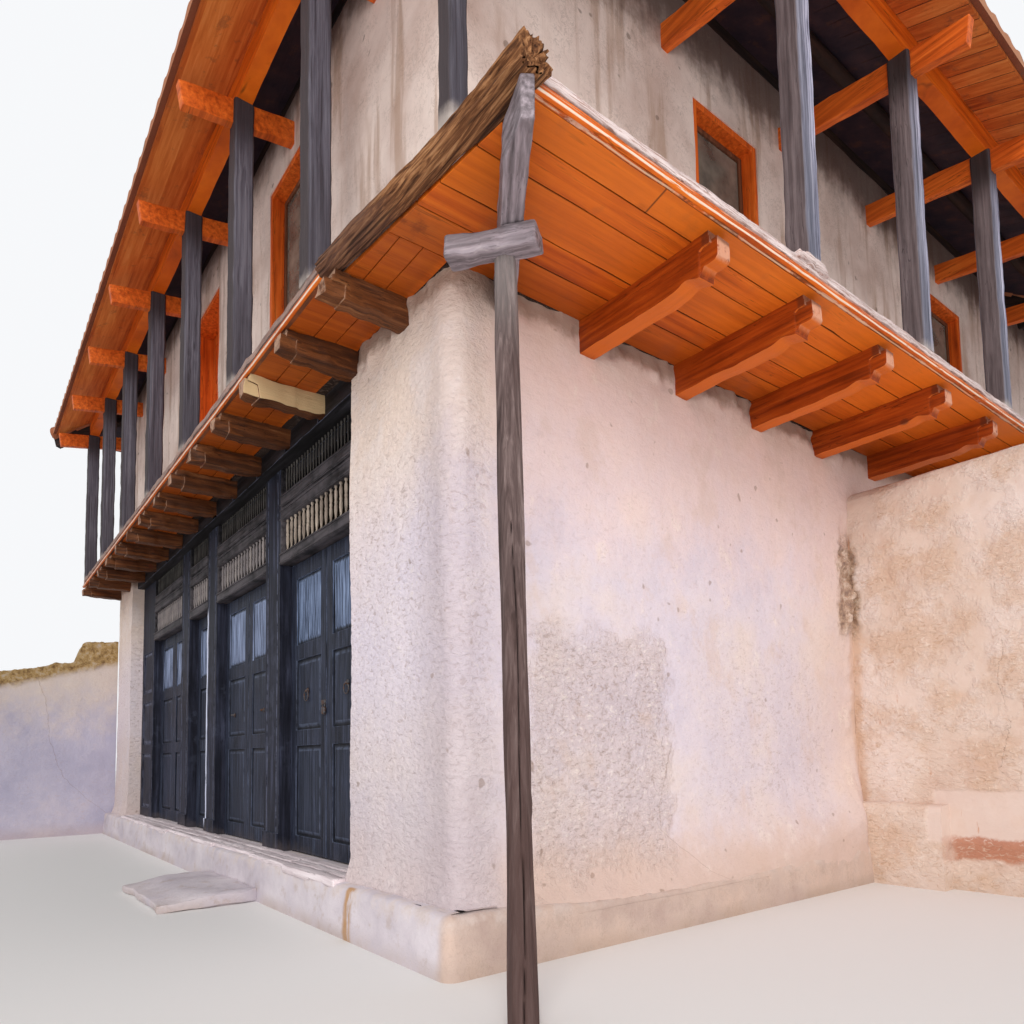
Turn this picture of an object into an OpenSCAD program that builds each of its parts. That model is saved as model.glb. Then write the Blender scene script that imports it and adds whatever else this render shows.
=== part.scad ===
// Two-storey adobe house with a cantilevered timber gallery on its front and right sides,
// panelled doors under spindle transoms, a hipped tile roof and stubs of its two yard walls.
// Millimetres, +Z up. The front wall faces -Y and the right wall faces +X. Inside the modules
// X and Y count from the near corner of the house, and at_origin() moves the whole to its base.

/* [House] */
// Length of the front wall, from the near corner to its left end
front_length = 8350; // [8000:50:9500]
// Depth of the house, from the front wall to the back wall
house_depth = 8100; // [7700:50:8900]
// Thickness of the ground storey's walls
wall_t = 450; // [400:10:550]
// Thickness of the upper storey's walls
upper_wall_t = 380; // [300:10:400]
// Radius of the worn arris at the corners of the house
arris_r = 100; // [40:5:130]
// Height of the plinth above the ground
plinth_h = 270; // [220:10:320]
// How far the plinth stands out beyond the walls
plinth_ledge = 120; // [60:10:180]

/* [Doors] */
// Width of the corner pier, from the house corner to the door frame
pier_w = 1050; // [950:10:1150]
// Width of the door frame's right jamb
jamb_w = 200; // [120:10:260]
// Width of the posts between the door bays
post_w = 300; // [240:10:320]
// Depth of the door posts, front to back
post_d = 200; // [160:10:240]
// How far the door frame stands back from the wall's face
frame_recess = 140; // [80:10:180]
// How far the leaves stand back from the frame's face
leaf_recess = 85; // [60:5:90]
// Width of one door leaf
leaf_w = 650; // [600:10:680]
// Height of a door leaf
leaf_h = 2100; // [2000:10:2160]
// Thickness of a door leaf
leaf_t = 44; // [38:1:52]
// Width of a leaf's stiles
stile_w = 92; // [70:2:110]
// Height of a leaf's rails
rail_h = 115; // [90:5:125]
// Clearance around a leaf and between two leaves
leaf_gap = 8; // [6:0.5:12]
// Radius of the pivots at a leaf's heel
pivot_r = 14; // [10:0.5:16]
// Length of a pivot, above and below the leaf
pivot_len = 28; // [20:1:40]
// Clearance of a pivot in its socket
pivot_gap = 0.3; // [0.2:0.1:0.5]
// Width of the fixed panel beside the last bay
side_panel_w = 620; // [560:10:650]
// Depth of the outer beam over the doors
beam_h = 140; // [120:5:150]
// Depth of the inner beam over the doors
inner_beam_h = 210; // [190:5:260]

/* [Transoms] */
// Height of the transoms' rails
transom_rail_h = 90; // [70:5:100]
// Thickness of the transom lattices
transom_t = 60; // [45:5:70]
// Height of the lower row of spindles
lower_spindle_h = 240; // [200:10:270]
// Height of the upper row of spindles
upper_spindle_h = 204; // [160:4:240]
// Width of the sunk groove between the two rows
transom_groove = 20; // [12:2:28]
// Thickness of a lower spindle
lower_spindle = 30; // [22:2:36]
// Spacing of the lower spindles
lower_pitch = 78; // [70:2:100]
// Thickness of an upper spindle
upper_spindle = 18; // [14:2:24]
// Spacing of the upper spindles
upper_pitch = 52; // [46:2:70]

/* [Galleries] */
// Width of the right gallery, from the wall to its edge
right_gallery_w = 915; // [850:5:1050]
// Width of the front gallery
front_gallery_w = 420; // [380:5:480]
// Thickness of the boards under the gallery
board_t = 25; // [18:1:32]
// Gap between neighbouring boards
board_gap = 5; // [3:1:8]
// Thickness of the earth bed between boards and planks
bed_t = 45; // [30:5:60]
// Thickness of the planks on top of the gallery
plank_t = 40; // [30:2:50]
// Thickness of the fascia boards
fascia_t = 22; // [16:1:28]
// Radius of the half-round batten along the gallery's lower edge
batten_r = 17; // [12:1:22]

/* [Joists] */
// Width of a joist
joist_w = 110; // [90:5:130]
// Depth of a joist on the right side
joist_h = 160; // [140:5:180]
// Depth of a joist on the front side
front_joist_h = 110; // [90:5:130]
// Thickness of the batten that lies on each joist
joist_cap_t = 25; // [15:1:30]
// Length of a joist inside the wall
joist_bearing = 300; // [200:10:380]
// From the house corner to the first joist on the right side
first_joist = 885; // [820:5:950]
// Spacing of the joists on the right side
joist_step = 774; // [700:2:850]
// From the house corner to the first joist on the front side
first_front_joist = 420; // [360:10:480]
// Spacing of the joists on the front side
front_joist_step = 600; // [540:10:660]

/* [Gallery frame] */
// Side of the square gallery posts
gallery_post = 130; // [110:5:150]
// Side of the first front post, which stands on the corner log
log_post_w = 92; // [80:2:110]
// From the gallery's edge to the middle of its posts
post_inset = 65; // [60:5:90]
// From the house corner to the first post on the right side
first_post = 1620; // [1500:10:1700]
// Number of post spaces along the right gallery
right_spaces = 5; // [4:1:6]
// From the house corner to the post on the corner log
log_post = 540; // [500:10:600]
// Number of post spaces along the front gallery
front_spaces = 7; // [6:1:8]
// Height of the gallery posts under their ties
gallery_post_h = 1800; // [1700:10:1900]
// Fall of the ties from the wall to the eaves
tie_fall = 9; // [4:0.5:11]
// Thickness of a tie
tie_t = 66; // [50:2:76]
// Depth of a tie
tie_h = 165; // [130:5:180]
// Length of a tie inside the wall
tie_bearing = 200; // [150:10:260]
// Width of the purlins over the posts
purlin_w = 100; // [80:5:120]
// Depth of the purlins at their outer face
purlin_h = 165; // [130:5:175]

/* [Roof] */
// Pitch of the four slopes
roof_pitch = 22; // [19:0.5:26]
// From the purlins' and walls' outer faces to the eaves
eave_out = 350; // [300:10:420]
// Thickness of the roof boards
roof_board_t = 25; // [20:1:30]
// Thickness of the tile covering
tile_t = 60; // [50:5:80]
// How far the tiles stand out beyond the boards
tile_out = 40; // [20:5:60]
// Radius of the hip and ridge tiles
cap_r = 105; // [90:5:130]
// Radius of the roof poles
pole_r = 45; // [35:1:55]
// Spacing of the roof poles in plan
pole_step = 850; // [800:10:900]
// Width of the hip and ridge beams
hip_w = 80; // [60:5:100]
// Depth of the hip and ridge beams
hip_h = 140; // [110:5:170]
// Side of the plates on top of the walls
plate = 90; // [70:5:110]

/* [Corner prop] */
// Where the diagonal joist meets the right wall, from the house corner
prop_joist_y = 322; // [300:2:350]
// Angle of the diagonal joist, from +X towards -Y
prop_joist_turn = 34; // [32:0.5:36]
// Length of the diagonal joist outside the wall
prop_joist_l = 1140; // [1100:10:1160]
// Width of the diagonal joist
prop_joist_w = 97; // [85:1:110]
// Distance along the diagonal joist to the bolster
bolster_at = 560; // [520:10:600]
// How far the bolster's middle lies beside the diagonal joist
bolster_aside = 76; // [50:2:90]
// Angle of the bolster out of square with the diagonal joist
bolster_turn = 18; // [10:1:22]
// Length of the bolster
bolster_l = 400; // [360:10:460]
// Width of the bolster
bolster_w = 110; // [90:5:130]
// Depth of the bolster
bolster_h = 90; // [70:5:110]
// Distance along the diagonal joist to the pole's head
prop_head = 536; // [500:4:580]
// How far the pole stands beside the diagonal joist's middle
prop_aside = 25; // [10:1:40]
// Radius of the prop pole at its foot
prop_foot_r = 52; // [44:1:60]
// Radius of the prop pole at its head
prop_head_r = 47; // [38:1:52]
// How far the pole's foot stands out from its head, along the diagonal joist
prop_lean = 317; // [260:1:360]
// Radius of the corner log
log_r = 54; // [46:1:64]
// How far the corner log's axis lies outside the front wall at its post
log_out = 319; // [300:1:330]
// Angle of the corner log, from +X towards +Y
log_turn = 5; // [3:0.5:7]
// Length of the corner log behind its post
log_behind = 1020; // [980:10:1060]
// Length of the corner log beyond its post
log_ahead = 470; // [430:10:510]

/* [Windows] */
// Width of a window, over its frame
window_w = 690; // [600:10:800]
// Height of a window, over its frame
window_h = 1150; // [950:10:1250]
// Height of the upper windows' heads above the gallery planks
window_head = 1780; // [1650:10:1800]
// Thickness of a window frame's lining
lining_t = 42; // [32:2:52]
// Depth of a window frame's lining
lining_d = 220; // [180:10:260]
// How far the sash stands behind the wall's face
sash_back = 90; // [50:5:120]
// Width of the sash
sash_w = 34; // [26:2:44]
// Thickness of the glass
glass_t = 5; // [4:1:8]
// From the house corner to the middle of the first window on the right side
right_window = 2225; // [2100:5:2350]
// Spacing of the windows on the right side
right_window_step = 3375; // [3200:25:3500]
// Width of the door to the front gallery
upper_door_w = 900; // [800:10:1000]
// Height of the door to the front gallery
upper_door_h = 1780; // [1650:10:1800]
// Height of the ground storey's back windows above the floor
low_sill = 1100; // [900:10:1200]

/* [Yard walls] */
// From the house corner to the right yard wall
yard_y = 3548; // [3400:10:3600]
// Thickness of the yard walls
yard_t = 350; // [280:10:400]
// Gap between the right yard wall's top and the joists
yard_gap = 175; // [120:5:300]
// Length of the right yard wall's stub
yard_l = 2300; // [1800:50:2600]
// Height of the bench at its foot
bench_h = 560; // [450:10:620]
// Length of the bench, from the house
bench_l = 600; // [500:10:700]
// How far the bench stands out from the yard wall
bench_d = 130; // [100:5:160]
// Height of the left yard wall at the house
left_yard_h = 2590; // [2400:10:2700]
// Height of the left yard wall at the end of its stub
left_yard_low = 2010; // [1900:10:2150]
// Length of the left yard wall's stub
left_yard_l = 2000; // [1500:50:2400]
// Length of the stone step in front of the doors
step_l = 1100; // [900:10:1300]
// Width of the stone step
step_w = 620; // [500:10:700]
// Height of the stone step
step_h = 95; // [80:5:130]
// From the house corner to the stone step
step_x = 2200; // [1900:50:2600]

/* [Hidden] */

// Levels
head_z = plinth_h + leaf_h + 2 * leaf_gap;
upper_row_z = head_z + 3 * transom_rail_h + lower_spindle_h + transom_groove;
beam_z = upper_row_z + upper_spindle_h;
soffit_z = beam_z + beam_h;
inner_beam_z = soffit_z - inner_beam_h;
floor_z = soffit_z + board_t + bed_t + plank_t;
joist_z = soffit_z - joist_cap_t - joist_h;
front_joist_z = soffit_z - front_joist_h;
tie_z = floor_z + gallery_post_h;
tie_top = tie_z + tie_h;
window_head_z = floor_z + window_head;
yard_h = joist_z - yard_gap;

// Door bays, counted from the corner to the left: leaves in each bay
bay_leaves = [2, 2, 1, 2];
bay_w = [for (n = bay_leaves) n * leaf_w + (n + 1) * leaf_gap];
function bay_from(i) = i == 0 ? pier_w + jamb_w : bay_from(i - 1) + bay_w[i - 1] + post_w;
bays_end = bay_from(3) + bay_w[3];
doors_end = bays_end + side_panel_w;
leaf_y = frame_recess + leaf_recess + leaf_t / 2;
socket_depth = pivot_len - leaf_gap + pivot_gap;

// Plan of the roof: where the eaves run
right_post_x = right_gallery_w - post_inset;
front_post_y = -(front_gallery_w - post_inset);
eave_hi = [right_post_x + purlin_w / 2 + eave_out, house_depth + eave_out];
eave_lo = [-front_length - eave_out, front_post_y - purlin_w / 2 - eave_out];
eave_z = tie_top + purlin_h - tan(roof_pitch) * eave_out;
eave_back = 15;
half_span = min(eave_hi.x - eave_lo.x, eave_hi.y - eave_lo.y) / 2;
ridge_a = [eave_lo.x + half_span, eave_lo.y + half_span];
ridge_b = [eave_hi.x - half_span, eave_hi.y - half_span];
hip_slope = atan(tan(roof_pitch) / sqrt(2));
tile_lift = (roof_board_t + tile_t) / cos(roof_pitch);
board_lift = roof_board_t / cos(roof_pitch);
// A length that reaches past the house from any point of it
reach = 3 * max(front_length, house_depth);
// Slot that keeps the four slopes apart under the hip tiles
hip_slot = 6;

// Height of the roof's underside, at a distance in plan from the eave
function under_roof(d) = eave_z + tan(roof_pitch) * d;
right_wall_top = under_roof(eave_hi.x) - plate;
front_wall_top = under_roof(-eave_lo.y) - plate;
low_wall_top = under_roof(eave_out) - plate;

// The four sides of the roof: middle of the eave, turn about Z, and distance from eave to wall
sides = [
    [[eave_hi.x, 0], 0, eave_hi.x],
    [[0, eave_hi.y], 90, eave_out],
    [[eave_lo.x, 0], 180, eave_out],
    [[0, eave_lo.y], 270, -eave_lo.y]
];
hip_corners = [
    [[eave_hi.x, eave_lo.y], 135],
    [[eave_hi.x, eave_hi.y], 225],
    [[eave_lo.x, eave_hi.y], 315],
    [[eave_lo.x, eave_lo.y], 45]
];

// Joists, posts and windows
right_joist_ys = [for (y = first_joist; y < house_depth - joist_w; y = y + joist_step) y];
front_joist_xs = [for (x = first_front_joist; x < front_length - joist_w; x = x + front_joist_step) -x];
right_post_step = (house_depth - post_inset - first_post) / right_spaces;
right_post_ys = [for (i = [0:right_spaces]) first_post + i * right_post_step];
front_post_step = (log_post + front_length - post_inset) / front_spaces;
front_post_xs = [for (i = [0:front_spaces]) log_post - i * front_post_step];
right_window_ys = [right_window, right_window + right_window_step];
front_window_xs = [-front_length / 4, -front_length * 3 / 4];
back_window_xs = [-front_length / 4, -front_length * 3 / 4];
upper_door_x = -front_length / 2;

// Footprint of the whole, whose middle is the origin
whole_lo = [eave_lo.x - tile_out, -left_yard_l];
whole_hi = [yard_l, eave_hi.y + tile_out];
whole_mid = (whole_lo + whole_hi) / 2;

// Finishes
plaster = "#d8c3ab";
lime = "#cfc8c2";
oiled_wood = "#c0561c";
old_wood = "#6f6258";
silver_wood = "#a39a93";
door_wood = "#2b2c33";
cream = "#cdbda6";
tile_red = "#a4573a";

// Puts the house corner's frame on the origin of the whole
module at_origin() {
    translate([-whole_mid.x, -whole_mid.y, 0])
        children();
}

// A block given by its two corners
module block(lo, hi) {
    translate(lo)
        cube(hi - lo);
}

// Rounds the vertical arris of a block at [x, y]; out_x and out_y point out of the block
module worn_arris(x, y, out_x, out_y, z0, z1) {
    translate([x, y, z0 - 1])
        linear_extrude(z1 - z0 + 2)
            difference() {
                translate([-out_x * arris_r / 2, -out_y * arris_r / 2])
                    square(arris_r + 2, center = true);
                translate([-out_x * arris_r, -out_y * arris_r])
                    circle(r = arris_r, $fn = 48);
            }
}

// Everything below one slope of the roof, lifted by a height
module below_slope(side, lift) {
    translate([side[0].x, side[0].y, eave_z + lift])
        rotate([0, 0, side[1]])
            rotate([0, roof_pitch, 0])
                translate([-reach, -reach, -reach])
                    cube([reach * 1.2, 2 * reach, reach]);
}

// Everything below the whole roof, lifted by a height
module below_roof(lift = 0) {
    intersection() {
        intersection() {
            below_slope(sides[0], lift);
            below_slope(sides[1], lift);
        }
        intersection() {
            below_slope(sides[2], lift);
            below_slope(sides[3], lift);
        }
    }
}

// Cuts its children to the underside of the roof
module under_the_roof() {
    intersection() {
        union() children();
        below_roof();
    }
}

// Boxes along the four hips, from the eave corners up to the ridge's ends
module hip_boxes(width, depth, rise) {
    for (corner = hip_corners)
        translate([corner[0].x, corner[0].y, eave_z])
            rotate([0, 0, corner[1]])
                rotate([0, -hip_slope, 0])
                    translate([0, -width / 2, -depth])
                        cube([half_span * sqrt(2) / cos(hip_slope), width, depth + rise]);
}

// Box along the ridge
module ridge_box(width, depth, rise) {
    ridge_l = norm(ridge_b - ridge_a);
    translate([ridge_a.x, ridge_a.y, under_roof(half_span)])
        rotate([0, 0, atan2(ridge_b.y - ridge_a.y, ridge_b.x - ridge_a.x)])
            translate([-width / 2, -width / 2, -depth])
                cube([ridge_l + width, width, depth + rise]);
}

// Points of a loop without repeats, for slopes that are triangles
function distinct(pts) = [for (i = [0:len(pts) - 1])
    if (norm(pts[i] - pts[(i + 1) % len(pts)]) > 1) pts[i]];

// Plan of one slope, with its eave moved out by a distance
function slope_plan(i, out) =
    let (lo = eave_lo - [out, out], hi = eave_hi + [out, out])
    distinct([
        [[hi.x, lo.y], [hi.x, hi.y], ridge_b, [ridge_b.x, ridge_a.y]],
        [[hi.x, hi.y], [lo.x, hi.y], [ridge_a.x, ridge_b.y], ridge_b],
        [[lo.x, hi.y], [lo.x, lo.y], ridge_a, [ridge_a.x, ridge_b.y]],
        [[lo.x, lo.y], [hi.x, lo.y], [ridge_b.x, ridge_a.y], ridge_a]
    ][i]);

// One layer of the covering, as four slopes that stay apart at the hips
module slope_layer(from_lift, to_lift, out) {
    difference() {
        for (i = [0:3])
            intersection() {
                difference() {
                    below_slope(sides[i], to_lift);
                    below_slope(sides[i], from_lift);
                }
                linear_extrude(eave_z * 3)
                    polygon(slope_plan(i, out));
            }
        union()
            for (corner = hip_corners)
                translate([corner[0].x, corner[0].y, 0])
                    rotate([0, 0, corner[1]])
                        translate([-4 * tile_out, -hip_slot / 2, 0])
                            cube([half_span * sqrt(2) + 4 * tile_out, hip_slot, eave_z * 3]);
        translate([ridge_a.x - hip_slot / 2, ridge_a.y - hip_slot / 2, 0])
            cube([ridge_b.x - ridge_a.x + hip_slot, ridge_b.y - ridge_a.y + hip_slot, eave_z * 3]);
    }
}

// A joist along +X from the wall's face; its end is carved to a slimmer nose under a brow
joist_nose = 95;
nose_sunk = 10;
joist_back = 30;

module carved_joist(length, depth, cap) {
    neck = length - joist_nose;
    slim = joist_w - 2 * nose_sunk;
    block([-joist_bearing, -joist_w / 2, 0], [neck, joist_w / 2, depth]);
    block([neck - 1, -slim / 2, nose_sunk], [length, slim / 2, depth * 0.84]);
    block([neck - 1, -joist_w / 2, depth * 0.72], [length - joist_nose / 3, joist_w / 2, depth]);
    if (cap > 0)
        translate([-joist_bearing, -joist_w / 2, depth])
            cube([joist_bearing + length - fascia_t - batten_r, joist_w, cap]);
}

module right_joist_set() {
    for (y = right_joist_ys)
        translate([0, y, joist_z])
            carved_joist(right_gallery_w - joist_back, joist_h, joist_cap_t);
}

module front_joist_set() {
    for (x = front_joist_xs)
        translate([x, 0, front_joist_z - joist_cap_t])
            rotate([0, 0, -90])
                carved_joist(front_gallery_w + joist_back, front_joist_h, joist_cap_t);
}

// Moves its children onto the diagonal joist's axis, which starts at the right wall
module on_diagonal() {
    translate([0, prop_joist_y, 0])
        rotate([0, 0, -prop_joist_turn])
            children();
}

// Plain diagonal joist; the side that faces forward is cut away on the skew at its end
joist_ease = 0.2;

module diagonal_joist() {
    a = prop_joist_w / 2;
    skew = 2 * prop_joist_w;
    on_diagonal()
        translate([0, 0, soffit_z - joist_h])
            linear_extrude(joist_h - joist_ease)
                polygon([[-joist_bearing, -a], [prop_joist_l - skew, -a], [prop_joist_l, 0],
                    [prop_joist_l, a], [-joist_bearing, a]]);
}

// All joists that run into the walls
module joists_in_walls() {
    right_joist_set();
    front_joist_set();
    diagonal_joist();
}

// A tie along +X that falls outwards; its post stands at x = 0
module tie(to_wall) {
    rotate([0, tie_fall, 0])
        block([-to_wall - tie_bearing, -tie_t / 2, 0],
            [purlin_w / 2 + eave_out - eave_back, tie_t / 2, tie_h]);
}

// Ties of both galleries
module tie_set() {
    for (y = right_post_ys)
        translate([right_post_x, y, tie_z])
            tie(right_post_x);
    for (i = [1:front_spaces])
        translate([front_post_xs[i], front_post_y, tie_z])
            rotate([0, 0, -90])
                tie(-front_post_y);
}

// Openings of the windows: middle of the sill at the wall's face, for walls that face -Y
module window_hole(x, z, depth) {
    block([x - window_w / 2, -1, z], [x + window_w / 2, depth + 1, z + window_h]);
}

module upper_window_holes() {
    z = window_head_z - window_h;
    for (y = right_window_ys)
        translate([0, y, 0])
            rotate([0, 0, 90])
                window_hole(0, z, upper_wall_t);
    for (x = front_window_xs)
        window_hole(x, z, upper_wall_t);
    for (x = back_window_xs)
        translate([x, house_depth, 0])
            rotate([0, 0, 180])
                window_hole(0, z, upper_wall_t);
}

module upper_door_hole() {
    block([upper_door_x - upper_door_w / 2, -1, floor_z],
        [upper_door_x + upper_door_w / 2, upper_wall_t + 1, floor_z + upper_door_h]);
}

module low_window_holes() {
    for (x = back_window_xs)
        translate([x, house_depth, 0])
            rotate([0, 0, 180])
                window_hole(0, plinth_h + low_sill, wall_t);
}

// Plinth: a rubble and lime platform under the whole house, with the door pivots' sockets
module plinth() {
    color(lime)
        difference() {
            block([-front_length - plinth_ledge, -plinth_ledge, 0],
                [plinth_ledge, house_depth + plinth_ledge, plinth_h]);
            for (p = pivot_places)
                translate([p.x, p.y, plinth_h - socket_depth])
                    cylinder(r = pivot_r + pivot_gap, h = socket_depth + 1, $fn = 48);
        }
}

module corner_pier() {
    color(plaster)
        difference() {
            block([-pier_w, 0, plinth_h], [0, wall_t, soffit_z]);
            worn_arris(0, 0, 1, -1, plinth_h, soffit_z);
            joists_in_walls();
        }
}

module left_pier() {
    color(plaster)
        difference() {
            block([-front_length, 0, plinth_h], [-doors_end, wall_t, soffit_z]);
            front_joist_set();
        }
}

module right_wall() {
    color(plaster)
        difference() {
            block([-wall_t, wall_t, plinth_h], [0, house_depth, soffit_z]);
            worn_arris(0, house_depth, 1, 1, plinth_h, soffit_z);
            right_joist_set();
            diagonal_joist();
        }
}

module back_wall() {
    color(plaster)
        difference() {
            block([-front_length, house_depth - wall_t, plinth_h], [-wall_t, house_depth, soffit_z]);
            worn_arris(-front_length, house_depth, -1, 1, plinth_h, soffit_z);
            low_window_holes();
        }
}

module left_wall() {
    color(plaster)
        block([-front_length, wall_t, plinth_h],
            [-front_length + wall_t, house_depth - wall_t, soffit_z]);
}

module upper_right_wall() {
    color(plaster)
        difference() {
            under_the_roof()
                block([-upper_wall_t, 0, soffit_z], [0, house_depth, right_wall_top]);
            worn_arris(0, 0, 1, -1, soffit_z, right_wall_top);
            worn_arris(0, house_depth, 1, 1, soffit_z, right_wall_top);
            upper_window_holes();
            tie_set();
            hip_boxes(hip_w, hip_h, hip_h);
        }
}

module upper_front_wall() {
    color(plaster)
        difference() {
            under_the_roof()
                block([-front_length + upper_wall_t, 0, soffit_z],
                    [-upper_wall_t, upper_wall_t, front_wall_top]);
            upper_window_holes();
            upper_door_hole();
            tie_set();
            hip_boxes(hip_w, hip_h, hip_h);
        }
}

module upper_back_wall() {
    color(plaster)
        difference() {
            block([-front_length + upper_wall_t, house_depth - upper_wall_t, soffit_z],
                [-upper_wall_t, house_depth, low_wall_top]);
            upper_window_holes();
            hip_boxes(hip_w, hip_h, hip_h);
        }
}

module upper_left_wall() {
    color(plaster)
        difference() {
            block([-front_length, 0, soffit_z],
                [-front_length + upper_wall_t, house_depth, low_wall_top]);
            worn_arris(-front_length, 0, -1, -1, soffit_z, low_wall_top);
            worn_arris(-front_length, house_depth, -1, 1, soffit_z, low_wall_top);
            tie_set();
            hip_boxes(hip_w, hip_h, hip_h);
        }
}

// Upper floor: an earth slab on round beams, inside the walls
module upper_floor() {
    beams = 9;
    beam_r = 70;
    span = front_length - 2 * wall_t;
    color(plaster) {
        block([-front_length + upper_wall_t, upper_wall_t, soffit_z],
            [-upper_wall_t, house_depth - upper_wall_t, floor_z]);
        for (i = [1:beams])
            translate([-wall_t - i * span / (beams + 1), wall_t, soffit_z - beam_r + 10])
                rotate([-90, 0, 0])
                    cylinder(r = beam_r, h = house_depth - 2 * wall_t, $fn = 48);
    }
}

// One door post: a square core with a rounded staff bead on each edge and a block at its foot
module door_post(x_from, width) {
    bead = 22;
    foot_h = 130;
    foot_out = 14;
    translate([-x_from - width, frame_recess, plinth_h]) {
        difference() {
            cube([width, post_d, beam_z - plinth_h]);
            for (x = [2.2 * bead, width - 2.2 * bead])
                translate([x, 0, foot_h])
                    cylinder(r = bead / 3, h = beam_z - plinth_h - foot_h + 1, $fn = 24);
        }
        translate([0, -foot_out, 0])
            cube([width, foot_out, foot_h]);
    }
}

// Inner beam over the doors, behind the transoms, notched into the posts
module inner_beam() {
    block([-doors_end, frame_recess + transom_t, inner_beam_z], [-pier_w, wall_t, soffit_z]);
}

module door_posts() {
    color(door_wood)
        difference() {
            union() {
                door_post(pier_w, jamb_w);
                for (i = [0:2])
                    door_post(bay_from(i) + bay_w[i], post_w);
            }
            inner_beam();
        }
}

// Beams over the doors, which carry the front gallery's joists and the upper wall
module door_beam() {
    beam_setback = 60;
    color(door_wood)
        difference() {
            union() {
                block([-doors_end, beam_setback, beam_z], [-pier_w, frame_recess + transom_t, soffit_z]);
                inner_beam();
            }
            front_joist_set();
        }
}

// A row of square spindles set corner on, between two levels
module spindles(width, from_z, to_z, thick, pitch) {
    count = floor((width - thick) / pitch);
    side = thick / sqrt(2);
    for (i = [1:count])
        translate([i * width / (count + 1), transom_t / 2, from_z])
            rotate([0, 0, 45])
                translate([-side / 2, -side / 2, 0])
                    cube([side, side, to_z - from_z]);
}

// Transom of one bay: head rail with the pivots' sockets, spindles, two rails, fine spindles
module transom(width) {
    stile = 30;
    groove = transom_groove;
    top = beam_z - head_z;
    rails = [0, transom_rail_h + lower_spindle_h, 2 * transom_rail_h + lower_spindle_h + groove];
    cube([width, post_d, transom_rail_h]);
    translate([0, groove / 2, rails[1]])
        cube([width, transom_t - groove / 2, transom_rail_h + groove]);
    translate([0, 0, rails[1]])
        cube([width, transom_t, transom_rail_h]);
    translate([0, 0, rails[2]])
        cube([width, transom_t, transom_rail_h]);
    for (x = [0, width - stile])
        translate([x, 0, 0])
            cube([stile, transom_t, top]);
    spindles(width, transom_rail_h, rails[1], lower_spindle, lower_pitch);
    spindles(width, rails[2] + transom_rail_h, top, upper_spindle, upper_pitch);
}

module transoms() {
    color(door_wood)
        difference() {
            for (i = [0:3])
                translate([-bay_from(i) - bay_w[i], frame_recess, head_z])
                    transom(bay_w[i]);
            for (p = pivot_places)
                translate([p.x, p.y, head_z - 1])
                    cylinder(r = pivot_r + pivot_gap, h = socket_depth + 1, $fn = 48);
        }
}

// Raised and fielded panel that fills a recess, with bevels on its four sides
module fielded_panel(width, height, depth) {
    bevel = 34;
    intersection() {
        rotate([90, 0, 90])
            linear_extrude(width)
                polygon([[depth, 0], [depth, height], [0, height - bevel], [0, bevel]]);
        linear_extrude(height)
            polygon([[0, depth], [width, depth], [width - bevel, 0], [bevel, 0]]);
    }
}

// Three fielded panels between stiles and rails, cut into a face at y = 0
panel_shares = [0.39, 0.31, 0.30];
panel_space = leaf_h - 4 * rail_h;
function panel_from(k) = rail_h + (k == 0 ? 0 : panel_from(k - 1) + panel_shares[k - 1] * panel_space);

module panelled_board(width, height, thick) {
    sink = 14;
    rebate = 6;
    stretch = height / leaf_h;
    difference() {
        cube([width, thick, height]);
        for (k = [0:2])
            translate([stile_w, -1, panel_from(k) * stretch])
                cube([width - 2 * stile_w, sink + 1, panel_shares[k] * panel_space * stretch]);
    }
    for (k = [0:2])
        translate([stile_w + rebate, rebate, panel_from(k) * stretch + rebate])
            fielded_panel(width - 2 * stile_w - 2 * rebate,
                panel_shares[k] * panel_space * stretch - 2 * rebate, sink - rebate);
}

// Door leaf along +X from its pivot, with a rounded heel and a pivot at top and bottom
module door_leaf() {
    heel = leaf_t / 2;
    translate([0, -heel, 0])
        panelled_board(leaf_w - heel, leaf_h, leaf_t);
    cylinder(r = heel, h = leaf_h, $fn = 48);
    translate([0, 0, -pivot_len])
        cylinder(r = pivot_r, h = leaf_h + 2 * pivot_len, $fn = 48);
}

// Puts a leaf in a bay: hinged at the bay's left edge, or mirrored at its right edge
module hung_left(bay) {
    color(door_wood)
        translate([-bay_from(bay) - bay_w[bay] + leaf_gap + leaf_t / 2, leaf_y, plinth_h + leaf_gap])
            door_leaf();
}

module hung_right(bay) {
    color(door_wood)
        translate([-bay_from(bay) - leaf_gap - leaf_t / 2, leaf_y, plinth_h + leaf_gap])
            mirror([1, 0, 0])
                door_leaf();
}

// Axes of the pivots: left leaves of all bays, then right leaves of the double bays
pivot_places = concat(
    [for (i = [0:3]) [-bay_from(i) - bay_w[i] + leaf_gap + leaf_t / 2, leaf_y]],
    [for (i = [0, 1, 3]) [-bay_from(i) - leaf_gap - leaf_t / 2, leaf_y]]
);

// Fixed panel between the last bay and the left pier, flush with the frame's face
module side_panel() {
    panel_t = 60;
    color(door_wood)
        translate([-doors_end, frame_recess, plinth_h]) {
            panelled_board(side_panel_w, head_z - plinth_h, panel_t);
            translate([0, 0, head_z - plinth_h])
                cube([side_panel_w, panel_t, beam_z - head_z]);
            translate([side_panel_w - stile_w, panel_t, 0])
                cube([stile_w, post_d - panel_t, inner_beam_z - plinth_h]);
        }
}

module right_joists() {
    color(oiled_wood)
        right_joist_set();
}

module front_joists() {
    color(oiled_wood)
        front_joist_set();
}

module corner_joist() {
    color(silver_wood)
        diagonal_joist();
}

// Boards side by side across a strip that starts at y = 0, each with its share of the width
module board_strip(length, width, shares) {
    clear_w = width - (len(shares) - 1) * board_gap;
    function board_from(i) = i == 0 ? 0 : board_from(i - 1) + shares[i - 1] * clear_w + board_gap;
    for (i = [0:len(shares) - 1])
        translate([0, board_from(i), 0])
            cube([length, shares[i] * clear_w, board_t]);
}

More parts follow.
